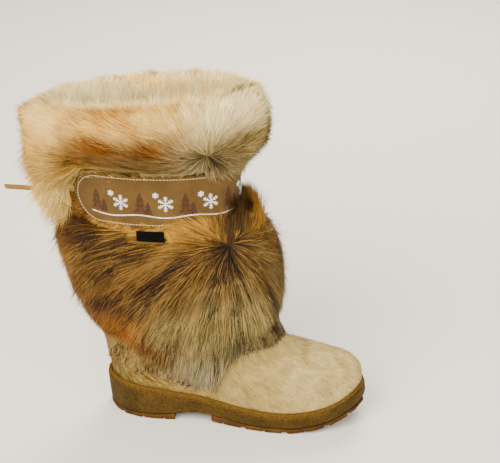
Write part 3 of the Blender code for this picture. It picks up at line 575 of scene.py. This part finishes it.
hide = copy_of("upper", "hide_upper")
apply_modifier(hide, "SUBSURF", levels=1, render_levels=1)
press_creases(hide)

# under the band the hide is pressed in a little, so that it doesn't show through the suede
BAND_PRESS = 1.2 * MM
band_tree = tree_of(nodes["waist_band"])
for point in hide.data.vertices:
    from_middle = point.co - Vector((LEG_MIDDLE, 0, point.co.z))
    if band_tree.find_nearest(point.co, 5 * MM)[0] is not None and point.normal.dot(from_middle) > 0:
        point.co -= point.normal * BAND_PRESS
hide.data.shade_smooth()
print("hide has", len(hide.data.polygons), "faces")

# %% [markdown]
# Hair grows as thick on a wide face as on a narrow one, so its roots are drawn by area. Each root takes the
# skin's normal with it, and the flow of the fur is whatever direction a cell gives it, laid along the skin.

# %% Where hairs start
chance = np.random.default_rng(4)  # one run of chance serves all the fur, so each run gives the same coat


def scatter(piece, count, keep):
    """Random places on a piece with their normals, where keep says yes."""
    mesh = piece.data
    mesh.calc_loop_triangles()
    corners = np.empty(len(mesh.loop_triangles) * 3, dtype=np.int64)
    mesh.loop_triangles.foreach_get("vertices", corners)
    corners = corners.reshape(-1, 3)
    places = mesh_places(mesh)
    normals = np.array([v.normal for v in mesh.vertices])
    centre = places[corners].mean(axis=1)
    facing = normals[corners].mean(axis=1)
    fits = keep(centre, facing)
    corners = corners[fits]
    a, b, c = (places[corners[:, k]] for k in range(3))
    area = np.linalg.norm(np.cross(b - a, c - a), axis=1)
    chosen = chance.choice(len(corners), size=count, p=area / area.sum())
    u, v = chance.random(count), chance.random(count)
    flip = u + v > 1
    u[flip], v[flip] = 1 - u[flip], 1 - v[flip]
    w = 1 - u - v
    roots = a[chosen] * w[:, None] + b[chosen] * u[:, None] + c[chosen] * v[:, None]
    picked = corners[chosen]
    out = sum(normals[picked[:, k]] * share[:, None] for k, share in enumerate((w, u, v)))
    return roots, unit(out), area.sum() / 2


def unit(vectors):
    size = np.linalg.norm(vectors, axis=1, keepdims=True)
    return vectors / np.maximum(size, 1e-9)


def tangent(vectors, normals):
    """The part of each vector that lies along the surface, one long."""
    return unit(vectors - normals * (vectors * normals).sum(axis=1, keepdims=True))


def turned(flows, normals, angles):
    """Flows turned about their normals."""
    side = np.cross(normals, flows)
    return flows * np.cos(angles)[:, None] + side * np.sin(angles)[:, None]


def outward(places, normals):
    """How far a normal points away from the leg's middle line."""
    away = unit(places[:, :2] - np.array((LEG_MIDDLE, 0.0)))
    return (normals[:, :2] * away).sum(axis=1)


def from_whorl(places, whorl):
    """Directions away from the whorls on both sides, blended across front and back, and how far away."""
    outer, inner = whorl * (1, -1, 1), whorl
    to_outer, to_inner = places - outer, places - inner
    share = fade(places[:, 1], 25 * MM, -25 * MM)[:, None]
    far = np.minimum(np.linalg.norm(to_outer, axis=1), np.linalg.norm(to_inner, axis=1))
    return unit(to_outer) * share + unit(to_inner) * (1 - share), far


print("hair starts on", len(shaft_pelt.data.polygons) + len(cuff_pelt.data.polygons), "faces of two pelts")

# %% [markdown]
# A hair leaves the skin at an angle and then lies down along its flow. Neighbouring hairs lean together into
# clumps, which gives fur its pointed locks and the partings between them. Each hair darkens towards its root,
# partly its own darker base and partly painted shade deep in the coat, which makes the partings dark. Its
# colour comes in streaks that run out from the whorl, as guard hairs of one shade do on an animal.

# %% How hairs lie
# hairs darken towards the root: partly their own darker base, partly painted shade deep in the coat
ROOT_DARK_AND_SHADE = 0.30  # how bright a hair is at its root beside its tip
STEPS = (0.0, 0.5, 1.0)  # root, middle and tip


def lay_down(points, surfaces, heights, share, reach):
    """Moves each point towards its height over the nearest surface."""
    moved = points.copy()
    for i, point in enumerate(points):
        best = None
        for surface in surfaces:
            hit = surface.find_nearest(point, 50 * MM)
            if hit[0] is not None and (best is None or hit[3] < best[3]):
                best = hit
        if best is not None:
            target = np.array(best[0] + best[1] * heights[i])
            if np.linalg.norm(target - point) < reach * MM:
                moved[i] = point * (1 - share[i]) + target * share[i]
    return moved


def streak(places, whorl, degrees, reach):
    """Smooth chance from 0 to 1 that runs in streaks out from a whorl, so many degrees wide and so long."""
    forward, up = places[:, 0] - whorl[0], places[:, 2] - whorl[2]
    along = np.degrees(np.arctan2(up, forward)) / degrees + 400.0
    out = np.hypot(forward, up) / reach + np.sign(places[:, 1]) * 50 + 100.0
    lattice = chance.random((1024, 256))
    i, j = along.astype(int), out.astype(int)
    u, v = along - i, out - j
    u, v = u * u * (3 - 2 * u), v * v * (3 - 2 * v)
    i, j = i % 1023, j % 255
    low = lattice[i, j] * (1 - u) + lattice[i + 1, j] * u
    high = lattice[i, j + 1] * (1 - u) + lattice[i + 1, j + 1] * u
    return low * (1 - v) + high * v


def clump_of(roots, spacing_area, area):
    """The clump that each root belongs to, by its nearest centre."""
    count = max(8, int(area / spacing_area))
    centres = chance.choice(len(roots), size=min(count, len(roots)), replace=False)
    finder = KDTree(len(centres))
    for i, centre in enumerate(centres):
        finder.insert(roots[centre], i)
    finder.balance()
    nearest = np.array([finder.find(root)[1] for root in roots])
    return centres[nearest]


print("a hair has", len(STEPS), "places along it")

# %% [markdown]
# Round hairs would cost ten times the triangles. At this distance a hair is thinner than a dot of the
# picture, so a flat ribbon that tapers to a point shows the same.

# %% Ribbons


def ribbon_mesh(name, rows, across, widths, tones):
    """One mesh of hairs. Each is a strip of three triangles, with two points at its root and its middle.

    rows holds each hair's root, middle and tip, and tones its colours there.
    """
    count = rows.shape[0]
    sides = ((0, -1.0), (0, 1.0), (1, -0.8), (1, 0.8), (2, 0.0))
    half = across * (widths / 2)[:, None]
    points = np.stack([rows[:, k] + half * side for k, side in sides], axis=1)
    paint = np.ones((count, len(sides), 4))
    for i, (k, _) in enumerate(sides):
        paint[:, i, :3] = tones[:, k]
    strip = ((0, 2, 1), (1, 2, 3), (2, 4, 3))
    first = np.arange(count)[:, None] * len(sides)
    loops = np.hstack([first + np.array(corner) for corner in strip]).ravel()
    mesh = bpy.data.meshes.new(name)
    mesh.vertices.add(count * len(sides))
    mesh.vertices.foreach_set("co", points.ravel())
    mesh.loops.add(len(loops))
    mesh.loops.foreach_set("vertex_index", loops)
    mesh.polygons.add(count * len(strip))
    mesh.polygons.foreach_set("loop_start", np.arange(count * len(strip)) * 3)
    mesh.update(calc_edges=True)
    mesh.shade_smooth()
    attribute = mesh.attributes.new("coat", "FLOAT_COLOR", "POINT")
    attribute.data.foreach_set("color", paint.ravel())
    print(name, "has", count, "hairs and", len(mesh.polygons), "triangles")
    return add_object(name, mesh)


# %% [markdown]
# Growing joins it all: roots, clumps, flow, lying down and colour. Each kind of fur is one call with its own
# sizes, so that a furrier's words for a pelt, such as long, fluffy or flat, are numbers in one table.

# %% Growing hair
LAID_LOW = 2.5 * MM


def grow(name, slot, start, flows, coat, streaks, look, surfaces):
    """Grows hair from its start. look holds its sizes in mm and angles in degrees.

    Three parts of a look are functions of the hairs' places: under says which hairs are laid low, trim cuts
    hairs off, and hides says which are left out.
    """
    roots, normals, area = start
    count = len(roots)
    centres = clump_of(roots, look["clump_area"] * MM**2, area)
    clump_luck = chance.random(count)[centres]
    length = look["length"] * MM * look.get("longer", 1.0) * chance.uniform(0.6, 1.2, count)
    length *= 0.85 + 0.3 * clump_luck
    angles = look["stray"] * chance.normal(size=count)[centres] + look["wisp"] * chance.normal(size=count)
    flows = turned(flows, normals, np.radians(angles))
    lift = np.radians(look["lift"]) * chance.uniform(0.7, 1.3, count)
    rows = [roots]
    for before, after in zip(STEPS, STEPS[1:]):
        angle = (lift * (1 - 0.8 * (before + after) / 2))[:, None]
        step = (flows * np.cos(angle) + normals * np.sin(angle)) * (length * (after - before))[:, None]
        rows.append(rows[-1] + step)
    rise = look["height"] * MM * chance.uniform(0.5, 1.3, count) * (0.9 + 0.2 * clump_luck)
    loose = chance.random(count) < look["loose"]
    rest = look["rest"] * np.where(loose, 0.35, 1.0)
    if "under" in look:
        under = look["under"](np.stack(rows, axis=1))
        rest, rise = np.where(under, 1.0, rest), np.where(under, LAID_LOW, rise)
    for k in range(1, len(STEPS)):
        height = rise * math.sin((0.25 + 0.75 * STEPS[k]) * math.pi / 2)
        rows[k] = lay_down(rows[k], surfaces, height, rest, look["reach"])
    for k in range(1, len(STEPS)):
        rows[k] = rows[k] + (rows[k][centres] - rows[k]) * look["clump"] * STEPS[k] ** 1.4
    rows = np.stack(rows, axis=1)
    (dark, middle, light), dark_share, light_share = coat
    luck = 0.55 * streaks + 0.15 * clump_luck + 0.30 * chance.random(count)
    luck = np.argsort(np.argsort(luck)) / count
    is_dark = np.clip((dark_share - luck) / look["blend"] + 0.5, 0, 1)[:, None]
    is_light = np.clip((luck - 1 + light_share) / look["blend"] + 0.5, 0, 1)[:, None]
    tone = dark * is_dark + (middle * (1 - is_light) + light * is_light) * (1 - is_dark)
    tone = tone * (1 + look["uneven"] * (chance.random(count) - 0.5))[:, None]
    # towards the root each hair is darker: partly its own colour, partly painted shade within the coat
    root = np.broadcast_to(look["root"], count)[:, None]
    tones = np.stack([tone * (root + (1 - root) * min(1.0, at * 1.6)) for at in STEPS], axis=1)
    width = look["width"] * MM * chance.uniform(0.7, 1.3, count)
    if "trim" in look:
        rows = look["trim"](rows)
    across = unit(np.cross(normals, rows[:, -1] - roots))
    if "hides" in look:
        clear = ~look["hides"](rows)
        rows, across, width, tones = rows[clear], across[clear], width[clear], tones[clear]
    dress(ribbon_mesh(name, rows, across, width, tones), hair, slot)


print("hair laid low stands", LAID_LOW / MM, "mm off the skin")

# %% [markdown]
# One material serves all the hair. A hair is a scaly fibre with a soft gloss. The colour comes from the
# zones, by an attribute, with a little noise so that no two locks match. The skin under it is matt wool.

# %% Hair and skin materials


def coat_material(name, settings, darken):
    made, tree, shader = new_material(name, settings)
    coat = add_node(tree, "ShaderNodeAttribute", {"attribute_name": "coat"}).outputs["Color"]
    shade = colour_steps(tree, noise(tree, 70.0, 4.0), ((0.3, darken), (0.65, "#FFFFFF")))
    tree.links.new(multiply(tree, 1.0, coat, shade), shader.inputs["Base Color"])
    return made


hair = coat_material("guard_hair", {"Roughness": 0.6, "Specular IOR Level": 0.12}, "#E6DED2")
under_wool = coat_material("under_wool", {"Roughness": 0.95, "Specular IOR Level": 0.1}, "#C4B8A6")


def paint_skin(piece, zones, bright):
    """Colours the skin under the hair by the same zones, darker, as painted shade under the hair."""
    mesh = piece.data
    (dark, middle, _), _, _ = coat_at(zones, mesh_places(mesh))
    tone = (middle * 0.6 + dark * 0.4) * bright
    paint = np.hstack([tone, np.ones((len(tone), 1))])
    mesh.attributes.new("coat", "FLOAT_COLOR", "POINT").data.foreach_set("color", paint.ravel())


# the skins are painted darker than their hair, as shade under the coat, most of all on the shaft
paint_skin(shaft_pelt, SHAFT_COAT, 0.45)
paint_skin(cuff_pelt, CUFF_COAT, 0.9)
paint_skin(hide, HIDE_COAT, 0.95)
dress(shaft_pelt, under_wool, "shaft_fur", "shaft_fur")
dress(cuff_pelt, under_wool, "cuff_fur", "cuff_fur")
dress(hide, under_wool, "hide", "upper")
print("skins are coloured under", hair.name)

# %% [markdown]
# The fur of the shaft streams away from a whorl, as it did on the animal. The whorl sits high on the outer
# side, and its twin on the inner side. The flow is the direction away from the whorl, laid along the skin,
# and it sinks a little with distance.

# %% Fur of the shaft
SHAFT_WHORL = np.array((104, 66, 240)) * MM
SHAFT_COUNT = 47000  # hairs in each of two pieces
# lower edge of the shaft's fur: forward mm, up mm
HEM = ((-60, 118), (-22, 109), (20, 73), (60, 58), (83, 50), (97, 84), (125, 112), (146, 126), (160, 140))
BAND_SHOWS = -46 * MM  # ahead of this the band lies free
label_low, label_high = (np.array(corner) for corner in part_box("label_tab"))


def places_along(rows, shares):
    """Places on the hairs: so far from root to middle, and so far from middle to tip."""
    for k in range(2):
        for share in shares:
            yield rows[:, k] * (1 - share) + rows[:, k + 1] * share


def crosses_label(rows):
    """Hairs that cross the label, seen from the side. They are laid low, so that they run under it."""
    low, high = label_low - 3 * MM, label_high + np.array((3, 0, 5)) * MM
    found = np.zeros(len(rows), dtype=bool)
    for place in places_along(rows, (0.0, 0.25, 0.5, 0.75, 1.0)):
        found |= ((place > low) & (place < high))[:, [0, 2]].all(axis=1)
    return found & (rows[:, 0, 1] < 0)


def covers_label(rows):
    """Hairs that would still hide the label. They are left out."""
    low, high = label_low - np.array((1, 12, 1)) * MM, label_high + np.array((1, -1, 4)) * MM
    found = np.zeros(len(rows), dtype=bool)
    for place in places_along(rows, np.linspace(0, 1, 9)):
        found |= ((place > low) & (place < high)).all(axis=1)
    return found


def between(places, back, front):
    return (places[..., 0] > back) & (places[..., 0] < front)


def trim_shaft(rows):
    """Cuts the shaft's hair off along its hem, and keeps it off the band behind where the fan hides it."""
    ragged = np.random.default_rng(5).uniform(3, 13, len(rows)) * MM
    hem = np.interp(rows[:, 2, 0], *(np.array(HEM).T * MM)) - ragged
    drop = rows[:, 0, 2] - rows[:, 2, 2]
    room = np.maximum(rows[:, 0, 2] - hem, 9 * MM)
    shorter = np.where(drop > room, room / np.maximum(drop, 1e-6), 1.0)
    rows = rows[:, :1] + (rows - rows[:, :1]) * shorter[:, None, None]
    top = band_low.z - (2.5 + 2.5 * np.random.default_rng(2).random(rows.shape[:2])) * MM
    kept = between(rows, BAND_SHOWS, 34 * MM)
    rows[:, :, 2] = np.where(kept, np.minimum(rows[:, :, 2], top), rows[:, :, 2])
    return rows


def on_shaft(places, normals):
    gap = np.array([upper_tree.find_nearest(p)[3] for p in places])
    return (outward(places, normals) > -0.15) | (gap > 4 * MM)


surfaces = [tree_of(shaft_pelt), tree_of(cuff_pelt), upper_tree]
# in mm and degrees, apart from shares: rest is how far a hair lies down, loose how many stand up, clump how
# far it leans to its clump, uneven how much its brightness varies and blend how softly shades follow
LONG_HAIR = {
    "length": 42.0, "lift": 20.0, "height": 7.0, "rest": 0.8, "reach": 45.0, "loose": 0.12,
    "clump": 0.16, "clump_area": 30.0, "stray": 4.0, "wisp": 8.0, "width": 0.55, "root": ROOT_DARK_AND_SHADE,
    "uneven": 0.35, "blend": 0.16,
}  # fmt: skip
shaft_look = {**LONG_HAIR, "trim": trim_shaft, "under": crosses_label, "hides": covers_label}
for part in range(2):
    start = scatter(shaft_pelt, SHAFT_COUNT, on_shaft)
    roots, normals, _ = start
    direction, far = from_whorl(roots, SHAFT_WHORL)
    direction[:, 2] -= 0.9 * fade(far, 0, 160 * MM) ** 2
    flows = tangent(direction, normals)
    # a hair shows the colour of the place that its middle covers, but the whorl keeps its own
    ahead = 22 * MM * fade(far, 8 * MM, 18 * MM)
    coat = coat_at(SHAFT_COAT, roots + flows * ahead[:, None])
    shaft_look["root"] = np.interp(far, (14 * MM, 34 * MM), (0.04, ROOT_DARK_AND_SHADE))
    streaks = streak(roots, SHAFT_WHORL, 2.4, 70 * MM)
    grow(f"shaft_hair_{part}", "shaft_fur", start, flows, coat, streaks, shaft_look, surfaces)

# %% [markdown]
# In front, the hair above the whorl stands up over the band and hides its lower edge, more so towards the
# toe. These hairs are longer, and they start along the upper edge of the shaft's fur.

# %% Fur that rises over the band
FAN_CENTRE = np.array((100, 66, 196)) * MM
FAN_COUNT = 38000
# forward mm and the hair's length there in mm
FAN_LENGTHS = ((36, 8), (60, 12), (85, 20), (103, 30), (114, 52), (165, 50))


def below_band(places, normals):
    return (places[:, 0] > 36 * MM) & (places[:, 2] > 222 * MM) & (outward(places, normals) > 0.05)


start = scatter(shaft_pelt, FAN_COUNT, below_band)
roots, normals, _ = start
direction, _ = from_whorl(roots, FAN_CENTRE)
direction[:, 2] += 0.9
flows = tangent(direction, normals)
forward = roots[:, 0] / MM
from_eye = np.hypot(*(roots - SHAFT_WHORL)[:, [0, 2]].T) / MM
away = fade(from_eye, 8, 18)
short = (away < 0.6) | ((roots[:, 1] > 10 * MM) & (forward < 122))
length = np.where(short, 11.0, np.interp(forward, *np.transpose(FAN_LENGTHS)))
fan_look = {**shaft_look, "lift": 14.0, "rest": 0.85, "blend": 0.5, "width": 0.6, "wisp": 6.0, "stray": 3.0}
del fan_look["trim"]
fan_look["length"] = length
fan_look["height"] = np.interp(forward, (60, 95, 118, 150), (3, 4, 11, 12))
fan_look["root"] = np.interp(from_eye, (9, 18), (0.05, 0.65))
coat = coat_at(FAN_COAT, roots + flows * (away * length * 0.5 * MM)[:, None])
streaks = streak(roots, FAN_CENTRE, 4.0, 40 * MM)
over_band = surfaces + [band_tree]
grow("band_hair", "shaft_fur", start, flows, coat, streaks, fan_look, over_band)

# %% [markdown]
# Between the furs and the band a strip of hide would show. Short fur of the same coat closes that gap, and
# it leans away from the band on every side, so that the pinked edge stays free.

# %% Fur beside the band
EDGE_COUNT = 13000


def beside_band(places, normals):
    gap = np.array([band_tree.find_nearest(place)[3] for place in places])
    covered = [band_tree.ray_cast(p, n, 20 * MM)[0] is not None for p, n in zip(places, normals)]
    level = (places[:, 2] > band_low.z - 6 * MM) & (places[:, 2] < band_high.z + 8 * MM)
    near = (gap > 1.5 * MM) & (gap < 15 * MM)
    return level & near & ~np.array(covered) & (outward(places, normals) > 0.2)


start = scatter(hide, EDGE_COUNT, beside_band)
roots, normals, _ = start
near_band = np.array([band_tree.find_nearest(root)[0] for root in roots])
direction, _ = from_whorl(roots, SHAFT_WHORL)
flows = tangent(unit(roots - near_band) + 0.4 * direction, normals)
edge_look = {**LONG_HAIR, "length": 13.0, "lift": 30.0, "height": 4.0, "root": 0.5}
edge_look.update(width=0.5, loose=0.0)
upper_part = roots[:, 2] > BAND_MIDDLE
coat = join_coats(upper_part, coat_at(CUFF_COAT, roots), coat_at(SHAFT_COAT, roots))
streaks = streak(roots, SHAFT_WHORL, 4.0, 30 * MM)
hide_tree = tree_of(hide)
grow("edge_hair", "hide", start, flows, coat, streaks, edge_look, [hide_tree])

# %% [markdown]
# The cuff is fluffier. Its hair streams up and back from a second whorl low in front, stands up at the
# crown, and is cream inside, where the same fur is folded over.

# %% Fur of the cuff
CUFF_WHORL = np.array((88, 70, 318)) * MM
CUFF_COUNT = 47000  # hairs in each of two pieces


def on_cuff(places, normals):
    hits = [upper_tree.find_nearest(p) for p in places]
    gap = np.array([hit[3] for hit in hits])
    to_hide = unit(np.array([hit[0] for hit in hits]) - places)
    faces_hide = (to_hide * normals).sum(axis=1) > 0.3
    return ~(faces_hide & (gap < 6 * MM))


def is_inside(places, normals):
    return (outward(places, normals) < -0.1) & (places[:, 2] > 322 * MM)


def cuff_flow(places, normals):
    """Direction of the cuff's hair: out from the whorl, up over the band, down behind and up inside."""
    direction, _ = from_whorl(places, CUFF_WHORL)
    forward, up = places[:, 0] / MM, places[:, 2] / MM
    over_band = fade(forward, 75, 35) * fade(forward, -50, -20) * fade(up, 345, 315)
    behind = fade(forward, -35, -60) * fade(up, 318, 288)
    front = fade(forward, 100, 120) * fade(up, 326, 310)
    direction[:, 2] += 0.25 * fade(forward, 120, 20) + 1.0 * over_band - 1.6 * behind - 1.2 * front
    upwards = np.array((0.0, 0.0, 1.0))
    return tangent(np.where(is_inside(places, normals)[:, None], upwards, direction), normals)


def above_band(rows):
    """Keeps the hair of the cuff off the band, up to where the fan hides it."""
    edge = band_high.z + (1.0 + 3.5 * np.random.default_rng(3).random(rows.shape[:2])) * MM
    kept = between(rows, BAND_SHOWS, 78 * MM)
    rows[:, :, 2] = np.where(kept, np.maximum(rows[:, :, 2], edge), rows[:, :, 2])
    return rows


cuff_look = {**LONG_HAIR, "trim": above_band, "length": 28.0, "loose": 0.25, "uneven": 0.2, "blend": 0.5}
cuff_look.update(stray=5.0, wisp=10.0)
for part in range(2):
    start = scatter(cuff_pelt, CUFF_COUNT, on_cuff)
    roots, normals, _ = start
    flows = cuff_flow(roots, normals)
    inside = is_inside(roots, normals)
    crown = fade(normals[:, 2], 0.3, 0.9) * (roots[:, 2] > 340 * MM)
    hang = fade(roots[:, 0], -38 * MM, -50 * MM) * fade(roots[:, 2], 325 * MM, 305 * MM)
    over_band = np.clip((roots[:, 2] - band_high.z) / (22 * MM), 0.15, 1)
    from_eye = np.linalg.norm(roots - CUFF_WHORL * (1, -1, 1), axis=1)
    cuff_look["lift"] = 28.0 + 34.0 * crown
    cuff_look["rest"] = 0.55 - 0.45 * crown
    cuff_look["longer"] = 1.0 - 0.4 * crown + 0.6 * hang
    cuff_look["height"] = np.where(roots[:, 0] > BAND_BACK, 8.0 * over_band, 8.0)
    cuff_look["root"] = np.interp(from_eye, (8 * MM, 26 * MM), (0.2, 0.9))
    coat = join_coats(inside, coat_at(LINING_COAT, roots), coat_at(CUFF_COAT, roots + flows * 14 * MM))
    streaks = streak(roots, CUFF_WHORL, 4.0, 45 * MM)
    grow(f"cuff_hair_{part}", "cuff_fur", start, flows, coat, streaks, cuff_look, surfaces)

# %% [markdown]
# The foot's hide keeps its own short hair, 8 mm long and combed flat towards the toe. It is grown as the long
# fur is, only lower and with finer clumps.

# %% Short hair of the foot
FOOT_COUNT = 45000
# the sole's rim, above which the hair starts: forward mm, up mm
RIM = ((-40, 43), (30, 41), (80, 30), (160, 24), (220, 28), (250, 36))


def on_foot(places, normals):
    outer = np.array([upper_tree.find_nearest(p)[1].dot(Vector(n)) > 0.2 for p, n in zip(places, normals)])
    over_rim = places[:, 2] > np.interp(places[:, 0], *(np.array(RIM).T * MM))
    faces_out = (outward(places, normals) > -0.2) | (normals[:, 2] > 0.1)
    return (places[:, 2] < 125 * MM) & outer & over_rim & faces_out


start = scatter(hide, FOOT_COUNT, on_foot)
roots, normals, _ = start
flows = tangent(np.array((0.75, 0.0, -0.45)) + roots * (0, 3.0, 0), normals)
foot_look = {
    "length": 8.0, "lift": 20.0, "height": 1.3, "rest": 0.6, "reach": 16.0, "loose": 0.1,
    "clump": 0.15, "clump_area": 9.0, "stray": 4.0, "wisp": 9.0, "width": 0.5, "root": 0.85,
    "uneven": 0.08, "blend": 0.5,
}  # fmt: skip
coat = coat_at(HIDE_COAT, roots)
streaks = chance.random(len(roots))
grow("foot_hair", "hide", start, flows, coat, streaks, foot_look, [hide_tree])

# %% [markdown]
# The band is suede with pinked edges, and its solid has that form. Suede is a cut nap: it is matt, and
# its colour drifts where a hand has stroked it.

# %% Suede band
matt = {"Roughness": 0.95, "Specular IOR Level": 0.1, "Sheen Weight": 0.08}
suede, tree, shader = new_material("suede_nap", matt)
nap = noise(tree, 1400.0, 2.0)
stroke = noise(tree, 28.0, 6.0, 0.7)
brown = colour_steps(tree, stroke, ((0.3, "#4A3718"), (0.55, "#564120"), (0.8, "#644D2B")))
fine = colour_steps(tree, nap, ((0.3, "#C0B0A0"), (0.6, "#FFFFFF")))
tree.links.new(multiply(tree, 0.5, brown, fine), shader.inputs["Base Color"])
add_bump(tree, shader, nap, 0.3, 0.4 * MM)
paint_solid("waist_band", suede)
print("band is", round((band_high.z - band_low.z) / MM), "mm wide in suede")

# %% [markdown]
# Thread work lies on the band, so every point of it is found by casting a ray at the band from outside. A
# place on the band is given as a tape measure gives it: millimetres along it from its outer end, and
# millimetres up or down from its middle.

# %% Places on the band
BAND_AXIS = Vector((LEG_MIDDLE, 0.0, 0.0))
OUTSIDE = 300 * MM  # where a ray starts, clear of the boot
THREAD_LIFT = 0.05 * MM


def band_hit(angle, height):
    """Point of the band and the way out, at an angle round the leg from the back over the outer side."""
    way = Vector((-math.cos(angle), -math.sin(angle), 0))
    far = BAND_AXIS + Vector((0, 0, height)) + way * OUTSIDE
    place, normal, _, _ = band_tree.ray_cast(far, -way, OUTSIDE)
    return place, normal


half_degrees = [math.radians(a / 2) for a in range(20, 700)]
band_angles = [a for a in half_degrees if band_hit(a, BAND_MIDDLE)[0]]
band_line = [band_hit(a, BAND_MIDDLE)[0] for a in band_angles]
band_run = np.concatenate([[0], np.cumsum([(q - p).length for p, q in zip(band_line, band_line[1:])])]) / MM


def on_band(along, up):
    """Point just over the band at so many mm along it and up from its middle, and the way out there.

    A place that falls off a round end moves in along the band until it lies on it.
    """
    inwards = 1 if along < band_run[-1] / 2 else -1
    for step in range(20):
        angle = float(np.interp(along + inwards * step, band_run, band_angles))
        place, normal = band_hit(angle, BAND_MIDDLE + up * MM)
        if place is not None:
            break
    return place + normal * THREAD_LIFT, normal


print("band runs", round(float(band_run[-1])), "mm from end to end")

# %% [markdown]
# A stitch is a short length of thread that dips at both ends. Seven points and six small faces show that
# much. The rows of stitches keep 4.6 mm in from the edge and follow it round the ends.

# %% Top stitching
# all in mm: thread that shows, from one stitch to the next, in from the edge, and the thread's width
STITCH, STITCH_PITCH, STITCH_INSET, THREAD = 2.5, 3.3, 4.6, 1.0
band_half = (band_high.z - band_low.z) / MM / 2


def thread_mesh(name, stitches, material):
    """Joined stitches. Each is (start along, start up, end along, end up, width), in mm on the band."""
    points, faces = [], []
    for a0, u0, a1, u1, wide in stitches:
        start, way = on_band(a0, u0)
        end, _ = on_band(a1, u1)
        side = (end - start).cross(way).normalized() * wide / 2 * MM
        middle = (start + end) / 2 + way * (0.35 + wide * 0.3) * MM
        first = len(points)
        points += [start - side * 0.6, start + side * 0.6, middle - side, middle, middle + side]
        points += [end - side * 0.6, end + side * 0.6]
        points[first + 2] -= way * 0.3 * MM
        points[first + 4] -= way * 0.3 * MM
        corners = ((0, 3, 2), (0, 1, 3), (1, 4, 3), (2, 3, 5), (3, 6, 5), (3, 4, 6))
        faces += [tuple(first + c for c in corner) for corner in corners]
    dress(new_piece(name, points, faces), material, "suede")
    print(name, "has", len(stitches), "stitches")


def thread_material(name, shade):
    dim = "#" + "".join(f"{int(int(shade[i:i + 2], 16) * 0.72):02X}" for i in (1, 3, 5))
    gloss = {"Roughness": 0.5, "Specular IOR Level": 0.25}
    return mottled(name, gloss, (900.0, 2.0), ((0.35, dim), (0.65, shade)))


cream_thread = thread_material("cream_thread", "#D6BC8A")
white_thread = thread_material("white_thread", "#F2F0EA")
russet_thread = thread_material("russet_thread", "#421F06")
band_long = float(band_run[-1])


def inset_line():
    """The stitching line: along the top, round the far end, back along the bottom and round the near end."""
    inner = band_half - STITCH_INSET
    straight = band_long - 2 * band_half
    steps, turns = int(straight / STITCH_PITCH), int(math.pi * inner / STITCH_PITCH)
    line = []
    for side, end in ((1, band_long - band_half), (-1, band_half)):
        line += [(end - side * straight * (1 - i / steps), side * inner) for i in range(steps)]
        angles = [math.pi * i / turns for i in range(turns)]
        line += [(end + side * inner * math.sin(a), side * inner * math.cos(a)) for a in angles]
    return line


line = inset_line()
share = STITCH / STITCH_PITCH
top_stitches = [
    (a0, u0, a0 + (a1 - a0) * share, u0 + (u1 - u0) * share, THREAD)
    for (a0, u0), (a1, u1) in zip(line, line[1:] + line[:1])
]
thread_mesh("band_stitches", top_stitches, cream_thread)

# %% [markdown]
# The band carries a winter border in satin stitch: russet firs and white stars over a white line of snow.
# Satin stitch is many threads laid side by side, so a fir is drawn as rows of short slanted stitches and a
# star as six tapering arms.

# %% Embroidered border


def fir(along, foot, tall):
    """A fir in satin stitch: three tiers of slanted threads on a short trunk."""
    made = [(along + k, foot, along + k, foot + tall * 0.16, 0.7) for k in (-0.5, 0.2)]
    for low, wide in ((0.14, 0.30), (0.40, 0.23), (0.64, 0.16)):
        rows = 7
        for i in range(rows):
            u = foot + tall * (low + 0.36 * i / rows)
            half = tall * wide * (1 - i / rows) + 0.4
            for side in (-1, 1):
                made.append((along, u + 0.9, along + side * half, u - 0.5, 0.85))
    return made


def star(along, up, size):
    """A six-armed star: each arm has a long thread and two short ones that slant off it."""
    made = []
    for arm in range(6):
        a = math.radians(60 * arm + 30)
        x, y = math.cos(a), math.sin(a)
        for shift in (-0.35, 0.35):
            start = (along - y * shift, up + x * shift)
            made.append((*start, start[0] + x * size, start[1] + y * size, 0.8))
        for out in (0.45, 0.72):
            fork = (along + x * size * out, up + y * size * out)
            for turn in (-58, 58):
                b = a + math.radians(turn)
                tip = (fork[0] + math.cos(b) * size * 0.28, fork[1] + math.sin(b) * size * 0.28)
                made.append((*fork, *tip, 0.75))
    return made


def snow_line(first, last):
    """A rolling line of snow in overlapping short threads."""
    made = []
    along = first
    while along < last:
        up, after = (-15.2 + 1.3 * math.sin(a / 9.0) for a in (along, along + 2.6))
        made.append((along, up, along + 2.8, after, 0.9))
        made.append((along + 1.2, up - 0.6, along + 3.4, after - 0.7, 0.7))
        along += 2.2
    return made


BORDER_PITCH = 23.0
firs, stars = [], []
for i in range(int((band_long - 50) / BORDER_PITCH) + 1):
    middle = 27.0 + i * BORDER_PITCH
    if i % 2 == 0:
        firs += fir(middle, -14.5, 25.0) + fir(middle + 8.0, -15.0, 15.0)
    else:
        stars += star(middle + 3, -1.5, 8.6) + star(middle - 7, 8.0, 3.4)
thread_mesh("border_firs", firs, russet_thread)
thread_mesh("border_stars", stars + snow_line(20.0, band_long - 20.0), white_thread)

# %% [markdown]
# The label is a scrap of black woven tape, folded under the band's edge and left plain.

# %% Label tape
black = {"Base Color": (*colour("#050506"), 1), "Roughness": 0.9, "Specular IOR Level": 0.05}
tape, _, _ = new_material("woven_tape", black)
paint_solid("label_tab", tape)
print("label is", round((label_high - label_low)[0] / MM), "mm long")
